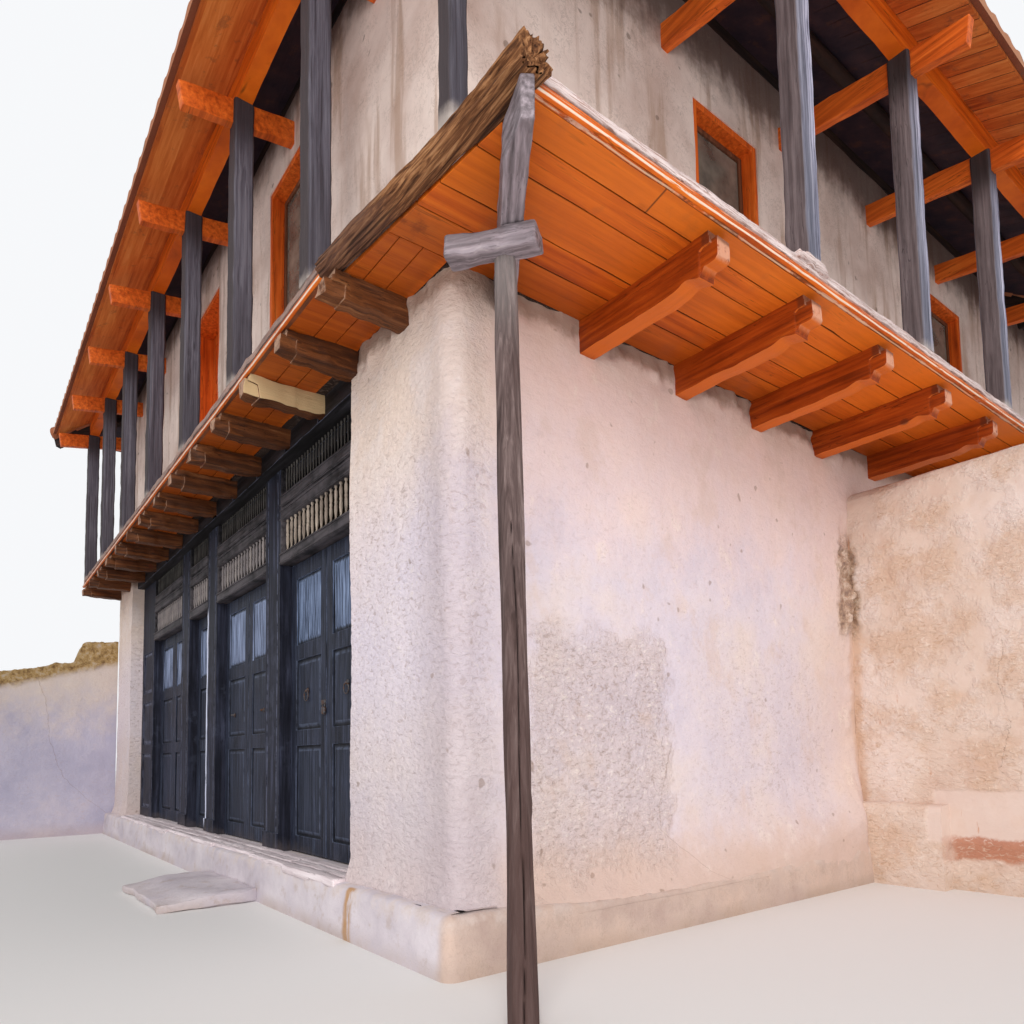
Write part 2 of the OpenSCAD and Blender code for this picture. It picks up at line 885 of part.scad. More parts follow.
// The corner log lies in a turned frame, whose origin is on its axis under its post
log_y = -log_out;
log_z = soffit_z + log_r - 4;
// Where the right gallery's boards begin; the log's room is cut out of them
boards_y = log_y - log_r;
right_shares = [0.245, 0.175, 0.26, 0.16, 0.16];
front_shares = [0.36, 0.3, 0.34];

module on_log() {
    translate([log_post, log_y, 0])
        rotate([0, 0, log_turn])
            children();
}

// Room for the log in the boards and planks of both galleries, open towards the front
module log_room() {
    on_log()
        block([-log_behind, -front_gallery_w, soffit_z - 1], [2 * log_ahead, log_r, floor_z + 1]);
}

module gallery_boards() {
    color(oiled_wood)
        difference() {
            union() {
                translate([0, boards_y, soffit_z])
                    mirror([1, -1, 0])
                        board_strip(house_depth - boards_y, right_gallery_w - fascia_t, right_shares);
                translate([-front_length, -front_gallery_w + fascia_t, soffit_z])
                    board_strip(front_length - board_gap, front_gallery_w - fascia_t, front_shares);
            }
            log_room();
        }
}

// Planks on an earth bed; the bed stands back behind the fascia
module gallery_floor() {
    bed_back = fascia_t + 12;
    bed_z = soffit_z + board_t;
    plank_z = bed_z + bed_t;
    color(silver_wood)
        difference() {
            union() {
                block([0, boards_y, bed_z], [right_gallery_w - bed_back, house_depth, plank_z]);
                block([0, boards_y, plank_z], [right_gallery_w, house_depth, floor_z]);
                block([-front_length, -front_gallery_w + bed_back, bed_z], [0, 0, plank_z]);
                block([-front_length, -front_gallery_w, plank_z], [0, 0, floor_z]);
            }
            log_room();
        }
}

module gallery_fascia() {
    fascia_h = board_t + bed_t - 12;
    color(oiled_wood)
        difference() {
            union() {
                block([right_gallery_w - fascia_t, boards_y, soffit_z],
                    [right_gallery_w, house_depth, soffit_z + fascia_h]);
                block([-front_length, -front_gallery_w, soffit_z],
                    [0, -front_gallery_w + fascia_t, soffit_z + fascia_h]);
            }
            log_room();
        }
}

// Half-round batten along +X, flat side on y = 0
module half_round(length) {
    rotate([0, 90, 0])
        difference() {
            cylinder(r = batten_r, h = length, $fn = 48);
            translate([-2 * batten_r, 0, -1])
                cube([4 * batten_r, 2 * batten_r, length + 2]);
        }
}

module edge_battens() {
    color(cream)
        difference() {
            union() {
                translate([right_gallery_w, boards_y, soffit_z + batten_r])
                    rotate([0, 0, 90])
                        half_round(house_depth - boards_y);
                translate([-front_length, -front_gallery_w, soffit_z + batten_r])
                    half_round(front_length);
            }
            log_room();
        }
}

// Square post with chamfered edges from foot_z up to the purlin
post_top = tie_top - 12;

module gallery_post_body(foot_z, side) {
    chamfer = 12;
    a = side / 2;
    c = a - chamfer;
    translate([0, 0, foot_z])
        linear_extrude(post_top - foot_z)
            polygon([[-a, -c], [-c, -a], [c, -a], [a, -c], [a, c], [c, a], [-c, a], [-a, c]]);
}

// Posts of the right gallery, slotted for their ties
module right_gallery_posts() {
    color(old_wood)
        difference() {
            for (y = right_post_ys)
                translate([right_post_x, y, 0])
                    gallery_post_body(floor_z, gallery_post);
            tie_set();
        }
}

module log_post_body() {
    translate([log_post, log_y, 0])
        gallery_post_body(log_z + log_r / 2, log_post_w);
}

module front_gallery_posts() {
    color(old_wood) {
        log_post_body();
        difference() {
            for (i = [1:front_spaces])
                translate([front_post_xs[i], front_post_y, 0])
                    gallery_post_body(floor_z, gallery_post);
            tie_set();
        }
    }
}

module tie_beams() {
    color(oiled_wood)
        tie_set();
}

module edge_purlins() {
    a = purlin_w / 2;
    color(oiled_wood)
        difference() {
            under_the_roof() {
                block([right_post_x - a, front_post_y + a, post_top],
                    [right_post_x + a, eave_hi.y - eave_back, tie_top + 2 * purlin_h]);
                block([eave_lo.x + eave_back, front_post_y - a, post_top],
                    [eave_hi.x - eave_back, front_post_y + a, tie_top + 2 * purlin_h]);
            }
            tie_set();
            hip_boxes(hip_w, hip_h, hip_h);
        }
}

// Short beam across the pole's head, under the diagonal joist
bolster_top = soffit_z - joist_h;

module corner_bolster() {
    color(silver_wood)
        on_diagonal()
            translate([bolster_at, -bolster_aside, bolster_top - bolster_h])
                rotate([0, 0, -bolster_turn])
                    block([-bolster_w / 2, -bolster_l / 2, 0], [bolster_w / 2, bolster_l / 2, bolster_h]);
}

// Pole that props the bolster, leaning in from a foot on the ground
module prop_pole() {
    pole_top = bolster_top - bolster_h;
    lean = atan(prop_lean / pole_top);
    spare = prop_foot_r * sin(lean) * 2;
    slant = pole_top / cos(lean);
    color(old_wood)
        on_diagonal()
            intersection() {
                translate([prop_head + prop_lean, -prop_aside, 0])
                    rotate([0, -lean, 0])
                        translate([0, 0, -spare])
                            cylinder(r1 = prop_foot_r, r2 = prop_head_r, h = slant + 2 * spare, $fn = 48);
                block([0, -4 * prop_foot_r, 0], [2 * prop_joist_l, 4 * prop_foot_r, pole_top]);
            }
}

// Log along the front gallery's edge at the corner, hewn flat where it lies on the joists
module corner_log() {
    color(old_wood)
        difference() {
            on_log()
                translate([-log_behind, 0, log_z])
                    rotate([0, 90, 0])
                        cylinder(r = log_r, h = log_behind + log_ahead, $fn = 48);
            on_log()
                block([-log_behind - 1, -2 * log_r, 0], [log_ahead + 1, 2 * log_r, soffit_z]);
            log_post_body();
        }
}

module wall_plates() {
    back_y = house_depth;
    left_x = -front_length;
    block([-plate, plate, right_wall_top], [0, back_y - plate, right_wall_top + 2 * plate]);
    block([left_x + upper_wall_t, 0, front_wall_top], [-upper_wall_t, plate, front_wall_top + 2 * plate]);
    block([left_x + upper_wall_t, back_y - plate, low_wall_top],
        [-upper_wall_t, back_y, low_wall_top + 2 * plate]);
    block([left_x, plate, low_wall_top], [left_x + plate, back_y - plate, low_wall_top + 2 * plate]);
}

// Plates on the walls, hip beams and ridge beam, all bevelled to the slopes
module roof_frame() {
    color(old_wood)
        difference() {
            under_the_roof() {
                wall_plates();
                hip_boxes(hip_w, hip_h, hip_h);
                ridge_box(hip_w, hip_h, hip_h);
            }
            tie_set();
        }
}

// Round poles along each slope, between the hips and clear of the walls
module roof_poles() {
    count = floor((half_span - hip_w) / pole_step);
    drop = pole_r / cos(roof_pitch);
    color(oiled_wood)
        difference() {
            for (i = [0:3], k = [1:count])
                if (abs(k * pole_step - sides[i][2] - upper_wall_t / 2) > upper_wall_t / 2 + pole_r)
                    intersection() {
                        translate([sides[i][0].x, sides[i][0].y, under_roof(k * pole_step) - drop])
                            rotate([0, 0, sides[i][1]])
                                translate([-k * pole_step, reach / 2, 0])
                                    rotate([90, 0, 0])
                                        cylinder(r = pole_r, h = reach, $fn = 48);
                        linear_extrude(eave_z * 3)
                            polygon(slope_plan(i, 0));
                    }
            hip_boxes(hip_w, 3 * hip_h, hip_h);
            wall_plates();
            block([-upper_wall_t, 0, soffit_z], [0, house_depth, right_wall_top]);
        }
}

module roof_boards() {
    color(oiled_wood)
        slope_layer(0, board_lift, 0);
}

module roof_tiles() {
    color(tile_red)
        slope_layer(board_lift, tile_lift, tile_out);
}

// Half-round tiles over the hips and the ridge, bedded on the slopes and flush with their edges
module ridge_tiles() {
    hip_l = half_span * sqrt(2) / cos(hip_slope);
    ridge_l = norm(ridge_b - ridge_a);
    past = 3 * tile_out;
    color(tile_red)
        difference() {
            intersection() {
                union() {
                    for (corner = hip_corners)
                        translate([corner[0].x, corner[0].y, eave_z + tile_lift])
                            rotate([0, 0, corner[1]])
                                rotate([0, 90 - hip_slope, 0])
                                    translate([0, 0, -past])
                                        cylinder(r = cap_r, h = hip_l + past - 1.2 * cap_r, $fn = 48);
                    translate([ridge_a.x, ridge_a.y, under_roof(half_span) + tile_lift])
                        rotate([0, 0, atan2(ridge_b.y - ridge_a.y, ridge_b.x - ridge_a.x)])
                            rotate([0, 90, 0])
                                cylinder(r = cap_r, h = ridge_l, $fn = 48);
                }
                block([eave_lo.x - tile_out, eave_lo.y - tile_out, soffit_z],
                    [eave_hi.x + tile_out, eave_hi.y + tile_out, 3 * soffit_z]);
            }
            below_roof(tile_lift);
        }
}

// A window-sized ring between two depths of the wall, its outer edge inset by a distance
module window_ring(inset, width, y_lo, y_hi) {
    z = window_head_z - window_h;
    a = window_w / 2 - inset;
    difference() {
        block([-a, y_lo, z + inset], [a, y_hi, z + window_h - inset]);
        block([-a + width, y_lo - 1, z + inset + width],
            [a - width, y_hi + 1, z + window_h - inset - width]);
    }
}

// Box lining of a window, for a wall that faces -Y
module window_lining() {
    window_ring(0, lining_t, 0, lining_d);
}

// Sash inside the lining
module window_sash() {
    window_ring(lining_t, sash_w, sash_back, sash_back + sash_w);
}

module window_pane() {
    z = window_head_z - window_h + lining_t + sash_w;
    a = window_w / 2 - lining_t - sash_w;
    y = sash_back + sash_w / 2;
    block([-a, y - glass_t / 2, z], [a, y + glass_t / 2, z + window_h - 2 * lining_t - 2 * sash_w]);
}

// Repeats a piece made for the front wall at every upper window
module at_upper_windows() {
    for (x = front_window_xs)
        translate([x, 0, 0])
            children();
    for (y = right_window_ys)
        translate([0, y, 0])
            rotate([0, 0, 90])
                children();
    for (x = back_window_xs)
        translate([x, house_depth, 0])
            rotate([0, 0, 180])
                children();
}

module window_frames() {
    color(oiled_wood) {
        at_upper_windows()
            window_lining();
        upper_door_lining();
    }
}

module window_sashes() {
    color(oiled_wood)
        at_upper_windows()
            window_sash();
}

module window_glass() {
    color("#404a50", 0.6)
        at_upper_windows()
            window_pane();
}

// Lining of the door to the front gallery
module upper_door_lining() {
    translate([upper_door_x - upper_door_w / 2, 0, floor_z])
        difference() {
            cube([upper_door_w, lining_d, upper_door_h]);
            block([lining_t, -1, -1], [upper_door_w - lining_t, lining_d + 1, upper_door_h - lining_t]);
        }
}

// Door to the front gallery: two panelled boards, fixed shut in their lining
module upper_door() {
    board = 40;
    inner_w = (upper_door_w - 2 * lining_t) / 2;
    color(oiled_wood)
        translate([upper_door_x - upper_door_w / 2 + lining_t, lining_d - board, floor_z])
            for (i = [0, 1])
                translate([i * inner_w, 0, 0])
                    panelled_board(inner_w, upper_door_h - lining_t, board);
}

// Right yard wall with a round top, and a bench at its foot
module yard_wall_right() {
    r = yard_t / 2;
    color(plaster)
        difference() {
            union() {
                block([0, yard_y, 0], [yard_l, yard_y + yard_t, yard_h - r]);
                translate([0, yard_y + r, yard_h - r])
                    rotate([0, 90, 0])
                        cylinder(r = r, h = yard_l, $fn = 64);
                block([0, yard_y - bench_d, 0], [bench_l, yard_y, bench_h]);
            }
            block([-1, 0, -1], [plinth_ledge, house_depth, plinth_h]);
        }
}

// Left yard wall, which runs forward from the house's corner and falls to its worn end
module yard_wall_left() {
    color(plaster)
        difference() {
            translate([-front_length, 0, 0])
                rotate([90, 0, -90])
                    linear_extrude(yard_t)
                        polygon([[0, 0], [0, left_yard_h], [left_yard_l, left_yard_low], [left_yard_l, 0]]);
            block([-front_length - plinth_ledge, -plinth_ledge, -1], [0, 0, plinth_h]);
        }
}

module door_step() {
    color(lime)
        block([-step_x - step_l, -plinth_ledge - step_w, 0], [-step_x, -plinth_ledge, step_h]);
}

at_origin() plinth();
at_origin() corner_pier();
at_origin() left_pier();
at_origin() right_wall();
at_origin() back_wall();
at_origin() left_wall();
at_origin() upper_front_wall();
at_origin() upper_right_wall();
at_origin() upper_back_wall();
at_origin() upper_left_wall();
at_origin() upper_floor();
at_origin() door_posts();
at_origin() door_beam();
at_origin() transoms();
at_origin() side_panel();
at_origin() hung_right(0);  // door_1_right
at_origin() hung_left(0);  // door_1_left
at_origin() hung_right(1);  // door_2_right
at_origin() hung_left(1);  // door_2_left
at_origin() hung_left(2);  // door_3
at_origin() hung_right(3);  // door_4_right
at_origin() hung_left(3);  // door_4_left
at_origin() right_joists();
at_origin() front_joists();
at_origin() gallery_boards();
at_origin() gallery_floor();
at_origin() gallery_fascia();
at_origin() edge_battens();
at_origin() right_gallery_posts();
at_origin() front_gallery_posts();
at_origin() tie_beams();
at_origin() edge_purlins();
at_origin() corner_joist();
at_origin() corner_bolster();
at_origin() prop_pole();
at_origin() corner_log();
at_origin() roof_frame();
at_origin() roof_poles();
at_origin() roof_boards();
at_origin() roof_tiles();
at_origin() ridge_tiles();
at_origin() window_frames();
at_origin() window_sashes();
at_origin() window_glass();
at_origin() upper_door();
at_origin() yard_wall_right();
at_origin() yard_wall_left();
at_origin() door_step();
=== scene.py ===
import math

import bmesh
import bpy
import numpy as np
from mathutils import Matrix, Vector


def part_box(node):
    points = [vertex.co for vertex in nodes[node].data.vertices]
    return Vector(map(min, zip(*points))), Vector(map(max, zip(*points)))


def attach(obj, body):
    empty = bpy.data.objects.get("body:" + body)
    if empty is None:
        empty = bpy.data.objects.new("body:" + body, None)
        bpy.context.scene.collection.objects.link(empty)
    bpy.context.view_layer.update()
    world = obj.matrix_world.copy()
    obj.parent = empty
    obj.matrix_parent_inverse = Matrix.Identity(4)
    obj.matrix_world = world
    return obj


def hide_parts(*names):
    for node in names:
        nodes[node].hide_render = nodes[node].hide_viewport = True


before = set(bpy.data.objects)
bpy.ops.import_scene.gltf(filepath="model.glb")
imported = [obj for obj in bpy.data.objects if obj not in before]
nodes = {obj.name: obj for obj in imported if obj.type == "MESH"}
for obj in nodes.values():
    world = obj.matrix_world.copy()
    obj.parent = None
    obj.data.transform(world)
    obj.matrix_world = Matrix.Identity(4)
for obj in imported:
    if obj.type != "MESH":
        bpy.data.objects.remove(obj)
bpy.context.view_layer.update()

# Plinth. A platform of rubble in earth mortar under the whole house, rendered with lime that
# has worn to grey; its edge is broken and rounded, and a rain stain runs down beside the doors.

corner_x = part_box("corner_pier")[1].x
corner_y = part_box("corner_pier")[0].y
plinth_low, plinth_high = (np.array(c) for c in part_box("plinth"))
plinth_top = plinth_high[2]
plinth_ledge = 0.12
house_depth = plinth_high[1] - corner_y - plinth_ledge
house_left = plinth_low[0] - corner_x + plinth_ledge


class Shade:
    """One output of a shader node. Operators on it add Math nodes."""

    def __init__(self, finish, socket):
        self.finish, self.socket = finish, socket

    def _math(self, operation, first, second=0.0):
        return self.finish.node("Math", {"operation": operation}, {0: first, 1: second})

    def __add__(self, other):
        return self._math("ADD", self, other)

    def __sub__(self, other):
        return self._math("SUBTRACT", self, other)

    def __rsub__(self, other):
        return self._math("SUBTRACT", other, self)

    def __mul__(self, other):
        return self._math("MULTIPLY", self, other)

    def __truediv__(self, other):
        return self._math("DIVIDE", self, other)

    def __mod__(self, other):
        return self._math("FLOORED_MODULO", self, other)

    __radd__ = __add__
    __rmul__ = __mul__

    def least(self, other):
        return self._math("MINIMUM", self, other)

    def most(self, other):
        return self._math("MAXIMUM", self, other)

    def whole(self):
        return self._math("FLOOR", self)

    def size(self):
        return self._math("ABSOLUTE", self)

    def rise(self, low, high):
        """0 below low and 1 above high with a smooth step between; low over high turns it round."""
        ends = {"From Min": min(low, high), "From Max": max(low, high),
                "To Min": float(low > high), "To Max": float(low <= high)}
        return self.finish.node("MapRange", {"interpolation_type": "SMOOTHSTEP"}, {"Value": self, **ends})

    def within(self, low, high, soft):
        """1 between low and high, with soft ends."""
        return self.rise(low - soft, low + soft) * self.rise(high + soft, high - soft)


class Finish:
    """A material whose nodes read the object's coordinates; x, y and z count from the house's near corner."""

    def __init__(self, name, **constants):
        self.material = bpy.data.materials.new(name)
        self.material.use_nodes = True
        self.tree = self.material.node_tree
        self.surface = self.tree.nodes["Principled BSDF"]
        self.feed(self.surface, {socket.replace("_", " "): value for socket, value in constants.items()})
        self.place = self.node("TexCoord", out="Object")
        x, y, self.z = self.parts(self.place)
        self.x, self.y = x - corner_x, y - corner_y

    def feed(self, node, sockets):
        """Gives a node's sockets their values or links."""
        for key, value in sockets.items():
            if isinstance(value, Shade):
                self.tree.links.new(value.socket, node.inputs[key])
            else:
                node.inputs[key].default_value = value

    def node(self, kind, settings={}, sockets={}, out=0):
        """Adds a node: its settings first, then the values or links of its sockets."""
        made = self.tree.nodes.new("ShaderNode" + kind)
        for key, value in settings.items():
            if key == "stops":
                while len(made.color_ramp.elements) < len(value):
                    made.color_ramp.elements.new(0.5)
                for element, (at, colour) in zip(made.color_ramp.elements, value):
                    element.position, element.color = at, (*colour, 1)
            else:
                setattr(made, key, value)
        self.feed(made, sockets)
        return Shade(self, made.outputs[out])

    def parts(self, vector):
        """The x, y and z of a vector."""
        return [self.node("SeparateXYZ", {}, {0: vector}, out=axis) for axis in "XYZ"]

    def normal(self):
        """The x, y and z of the direction that the surface faces."""
        return self.parts(self.node("NewGeometry", out="Normal"))

    def written(self, name):
        """A value that is written on the piece's points or faces under that name."""
        return self.node("Attribute", {"attribute_name": name}, out="Fac")

    def mix(self, mask, under, over):
        """The first colour where the mask is 0 and the second where it is 1."""
        under, over = ((*c, 1) if isinstance(c, tuple) else c for c in (under, over))
        return self.node("Mix", {"data_type": "RGBA"}, {0: mask, 6: under, 7: over}, out=2)

    def ramp(self, value, *stops):
        """Colours blended along the value; each stop is (value, colour)."""
        return self.node("ValToRGB", {"stops": stops}, {0: value})

    def stretched(self, factors, shift=(0, 0, 0)):
        """The place with each axis multiplied by its factor and moved by the shift, for another pattern."""
        scaled = self.node("VectorMath", {"operation": "MULTIPLY"}, {0: self.place, 1: factors})
        return self.node("VectorMath", {"operation": "ADD"}, {0: scaled, 1: shift})

    def noise(self, scale, vector=None, detail=4.0, rough=0.55, warp=0.0, shift=(0, 0, 0)):
        """Noise of that scale round 0.5; a scale for each axis stretches it."""
        if isinstance(scale, tuple):
            scale, vector = 1.0, self.stretched(scale, shift)
        return self.node("TexNoise", {}, {"Vector": vector or self.place, "Scale": scale, "Detail": detail,
                                          "Roughness": rough, "Distortion": warp})

    def cells(self, scale, vector=None):
        """Distance to the nearest of scattered points."""
        return self.node("TexVoronoi", {}, {"Vector": vector or self.place, "Scale": scale}, out="Distance")

    def line(self, value, at, width):
        """1 where the value crosses that level, fading out over the width to both sides."""
        return (value - at).size().rise(width, 0.0)

    def trail(self, along, across, points, width, wobble=0.02):
        """A crack: 1 where across meets a broken line given as (along, across) points."""
        (start, end), (low, high) = ((min(p[i] for p in points), max(p[i] for p in points)) for i in (0, 1))
        span, reach = end - start, max(high - low, 0.001)
        stops = [((a - start) / span, ((c - low) / reach,) * 3) for a, c in sorted(points)]
        path = self.ramp((along - start) / span, *stops) * reach + low
        shake = (self.noise(7, detail=5, rough=0.7) - 0.5) * (4 * wobble)
        return self.line(across - path + shake, 0.0, width) * along.within(start, end, 0.02)

    def coat(self, mask, over):
        """Lays another colour over the surface's own where the mask is 1."""
        self.colour = self.mix(mask, self.colour, over)

    def surface_of(self, rough, height, distance):
        """Links the colour, the roughness and a bump of that height in metres, and returns the material."""
        bump = self.node("Bump", {}, {"Distance": distance, "Height": height})
        self.feed(self.surface, {"Base Color": self.colour, "Roughness": rough, "Normal": bump})
        return self.material


def circle(sides):
    """Angles evenly spaced round a circle."""
    return np.arange(sides) * 2 * math.pi / sides


def swing(angle):
    """The same angle between minus and plus half a turn."""
    return (angle + math.pi) % (2 * math.pi) - math.pi


def smooth(value, low, high):
    """0 below low and 1 above high with a smooth step between them."""
    part = np.clip((value - low) / (high - low), 0, 1)
    return part * part * (3 - 2 * part)


def lumps(points, size, seed=0):
    """Value noise from -1 to 1: a hashed value at each corner of a lattice of that size, blended smoothly."""
    cell = points / size + 500.0
    base = np.floor(cell).astype(np.int64)
    part = cell - base
    part = part * part * (3 - 2 * part)
    total = np.zeros(points.shape[:-1])
    for step in np.ndindex(2, 2, 2):
        k = base + step
        mixed = (k[..., 0] * 73856093) ^ (k[..., 1] * 19349663) ^ (k[..., 2] * 83492791) ^ (seed * 7919 + 17)
        mixed = (mixed & 0xFFFFFFF) * 48271 % 2147483647
        mixed = (mixed ^ (mixed >> 11)) * 69621 % 2147483647
        total += np.where(step, part, 1 - part).prod(axis=-1) * ((mixed & 0xFFFF) / 32767.5 - 1)
    return total


def rough(points, size, octaves=3, seed=0):
    """Noise summed over octaves, each half the size and 0.55 of the height of the one before."""
    return sum(lumps(points, size / 2 ** i, seed + i) * 0.55 ** i for i in range(octaves))


def in_scene(name, data):
    """A new object of that data, linked to the scene."""
    thing = bpy.data.objects.new(name, data)
    bpy.context.scene.collection.objects.link(thing)
    return thing


def made(name, points, faces, material, body="house", sharp=40, weld=0.0002):
    """Makes a closed piece of points and faces: doubles merged, faces outwards, smooth up to the sharp angle."""
    mesh = bpy.data.meshes.new(name)
    mesh.from_pydata(np.asarray(points).reshape(-1, 3).tolist(), [], faces)
    work = bmesh.new()
    work.from_mesh(mesh)
    bmesh.ops.remove_doubles(work, verts=work.verts, dist=weld)
    bmesh.ops.delete(work, geom=[v for v in work.verts if not v.link_faces], context="VERTS")
    bmesh.ops.recalc_face_normals(work, faces=work.faces)
    work.to_mesh(mesh)
    work.free()
    mesh.polygons.foreach_set("use_smooth", [True] * len(mesh.polygons))
    mesh.set_sharp_from_angle(angle=math.radians(sharp))
    mesh.materials.append(material)
    piece = in_scene(name, mesh)
    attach(piece, body)
    return piece


def stops(*marks, step):
    """Positions from mark to mark, evenly spaced between two marks at no more than the step."""
    parts = [np.linspace(a, b, max(2, math.ceil(abs(b - a) / step) + 1))[:-1] for a, b in zip(marks, marks[1:])]
    return np.concatenate(parts + [[marks[-1]]])


def plan(corners, radius, steps, marks=()):
    """Points and outward normals along a wall's plan: straight runs joined by round arrises.

    A mark (axis, value, step) puts a point at that value of the axis, and its step holds from there on."""
    corners = [np.array(corner, float) for corner in corners]
    points, normals = [], []
    for i, (a, b) in enumerate(zip(corners, corners[1:])):
        length = np.linalg.norm(b - a)
        run = (b - a) / length
        out = np.array([run[1], -run[0]])
        axis = int(np.argmax(np.abs(run)))
        begin, end = radius * (i > 0), length - radius * (i < len(corners) - 2)
        cuts = sorted(((value - a[axis]) * run[axis], step) for k, value, step in marks if k == axis)
        cuts = [(begin, steps[i])] + [cut for cut in cuts if begin < cut[0] < end] + [(end, 1)]
        places = [np.linspace(s, e, math.ceil((e - s) / step) + 1)[:-1] for (s, step), (e, _) in zip(cuts, cuts[1:])]
        places = np.concatenate(places + [[end]])
        points.append(a + run * places[:, None])
        normals.append(np.repeat(out[None], len(places), 0))
        if i < len(corners) - 2:
            following = (corners[i + 2] - b) / np.linalg.norm(corners[i + 2] - b)
            out_next = np.array([following[1], -following[0]])
            turn = np.linspace(0, math.pi / 2, 9)[1:-1, None]
            spread = np.cos(turn) * out + np.sin(turn) * out_next
            points.append(b - (out + out_next) * radius + spread * radius)
            normals.append(spread)
    return np.concatenate(points), np.concatenate(normals)


def joined(name, grids, material, body="house", sharp=35, loops=(), **kept):
    """One piece of several closed bands, each a grid whose rows run round it and whose ends are filled flat.

    A loop is a grid whose last row meets its first instead."""
    points, faces, shift = [], [], 0
    for k, grid in enumerate([*grids, *loops]):
        rows, cols = grid.shape[:2]
        number = np.arange(rows * cols).reshape(rows, cols) + shift
        ahead, above = np.roll(number, -1, 1), np.roll(number, -1, 0)
        quads = np.stack((number, ahead, np.roll(ahead, -1, 0), above), -1)
        if k < len(grids):
            quads = quads[:-1]
        faces += quads.reshape(-1, 4).tolist()
        if k < len(grids):
            faces += [number[0, ::-1].tolist(), number[-1].tolist()]
        points.append(grid.reshape(-1, 3))
        shift += rows * cols
    return made(name, np.concatenate(points), faces, material, body=body, sharp=sharp, **kept)


def placed(grids):
    """Moves grids from the house corner's frame into the part's."""
    return [grid + (corner_x, corner_y, 0) for grid in grids]


def lime_render():
    """Grey-white lime on the front, pinker on the right side, with a rain stain and a worn earthy edge."""
    f = Finish("lime_render", Specular_IOR_Level=0.2)
    patches = f.noise(2.6, detail=8, rough=0.62)
    grit = f.noise(75, detail=2, rough=0.7)
    worn = f.noise(9, detail=6, rough=0.65)
    side = f.x.rise(0.02, 0.1)
    front = f.ramp(patches, (0.3, (0.48, 0.43, 0.48)), (0.5, (0.62, 0.56, 0.6)), (0.7, (0.72, 0.66, 0.69)))
    pinkish = f.ramp(patches, (0.3, (0.44, 0.32, 0.28)), (0.5, (0.55, 0.42, 0.36)), (0.7, (0.62, 0.46, 0.38)))
    f.colour = f.mix(side, front, pinkish)
    f.coat(worn.rise(0.54, 0.68) * 0.4, (0.46, 0.35, 0.29))
    worms = f.line(f.noise(21, detail=3, rough=0.6, warp=1.5), 0.5, 0.05)
    f.coat(worms * side * worn.rise(0.4, 0.55) * 0.25, (0.36, 0.25, 0.2))
    edge = f.z.rise(0.16, 0.25) * worn.rise(0.4, 0.6)
    f.coat(edge * 0.6, (0.66, 0.56, 0.52))
    stain = f.x.within(-0.87, -0.79, 0.02) * f.noise((30, 30, 2.5), detail=4).rise(0.3, 0.5)
    stain = stain * f.y.rise(-0.08, -0.1)
    f.coat(stain * 0.85, (0.46, 0.24, 0.08))
    splash = f.z.rise(0.1, 0.0) * patches.rise(0.35, 0.6)
    f.coat(splash * 0.5, (0.36, 0.26, 0.2))
    chips = f.line(f.noise(13, detail=4, rough=0.7, warp=0.8), 0.5, 0.03) * worn.rise(0.5, 0.6)
    f.coat(chips * 0.12, (0.28, 0.2, 0.17))
    return f.surface_of(0.92, worn * 0.6 + grit * 0.25, 0.01)


def plinth_band():
    """The plinth's face, its rounded edge and its ledge, carried round the house and moved by noise."""
    left, right, front, back = house_left - plinth_ledge, plinth_ledge, -plinth_ledge, house_depth + plinth_ledge
    corners = [(left, front), (right, front), (right, back), (left, back), (left, front)]
    line, out = plan(corners, 0.05, (0.03, 0.03, 0.12, 0.12))
    line, out = line[:-1], out[:-1]
    along = line[:, 1]
    # The edge of the right side sags and rises to the bench
    low = np.interp(along, (-0.12, 0.0, 0.63, 1.0, 1.9, 3.06, 3.5), (0.268, 0.262, 0.235, 0.212, 0.22, 0.262, 0.268))
    edge = np.where((line[:, 0] > right - 0.01) & (along < 3.5), low, 0.268)
    profile = [(0.012, 0.0), (0.01, 0.04), (0.008, 0.09), (0.006, 0.14), (0.004, 0.18), (0.0, -0.05), (-0.004, -0.022),
               (-0.018, -0.006), (-0.045, 0.0), (-0.09, 0.002), (-0.13, 0.002), (-0.3, 0.0)]
    grid = []
    for k, (push, rise) in enumerate(profile):
        height = np.full(len(line), rise) if k < 5 else edge + rise
        if k > 8:
            height = np.maximum(height, plinth_top - 0.004)
        flat = line + out * push
        grid.append(np.column_stack((flat, height)))
    grid = np.array(grid)
    move = 0.012 * lumps(grid, 0.5, 3) + 0.006 * rough(grid, 0.13, 3, 5)
    grid[1:10, :, :2] += (out[None] * move[..., None])[1:10]
    grid[5:9, :, 2] += 0.006 * rough(grid[5:9], 0.16, 3, 9)
    band = joined("plinth_render", placed([grid]), lime_render(), sharp=40)
    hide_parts("plinth")


plinth_band()

# Sill of the door front. Grey, split planks bedded in the ledge before the door frame, with
# their ends broken away over the plinth's edge.


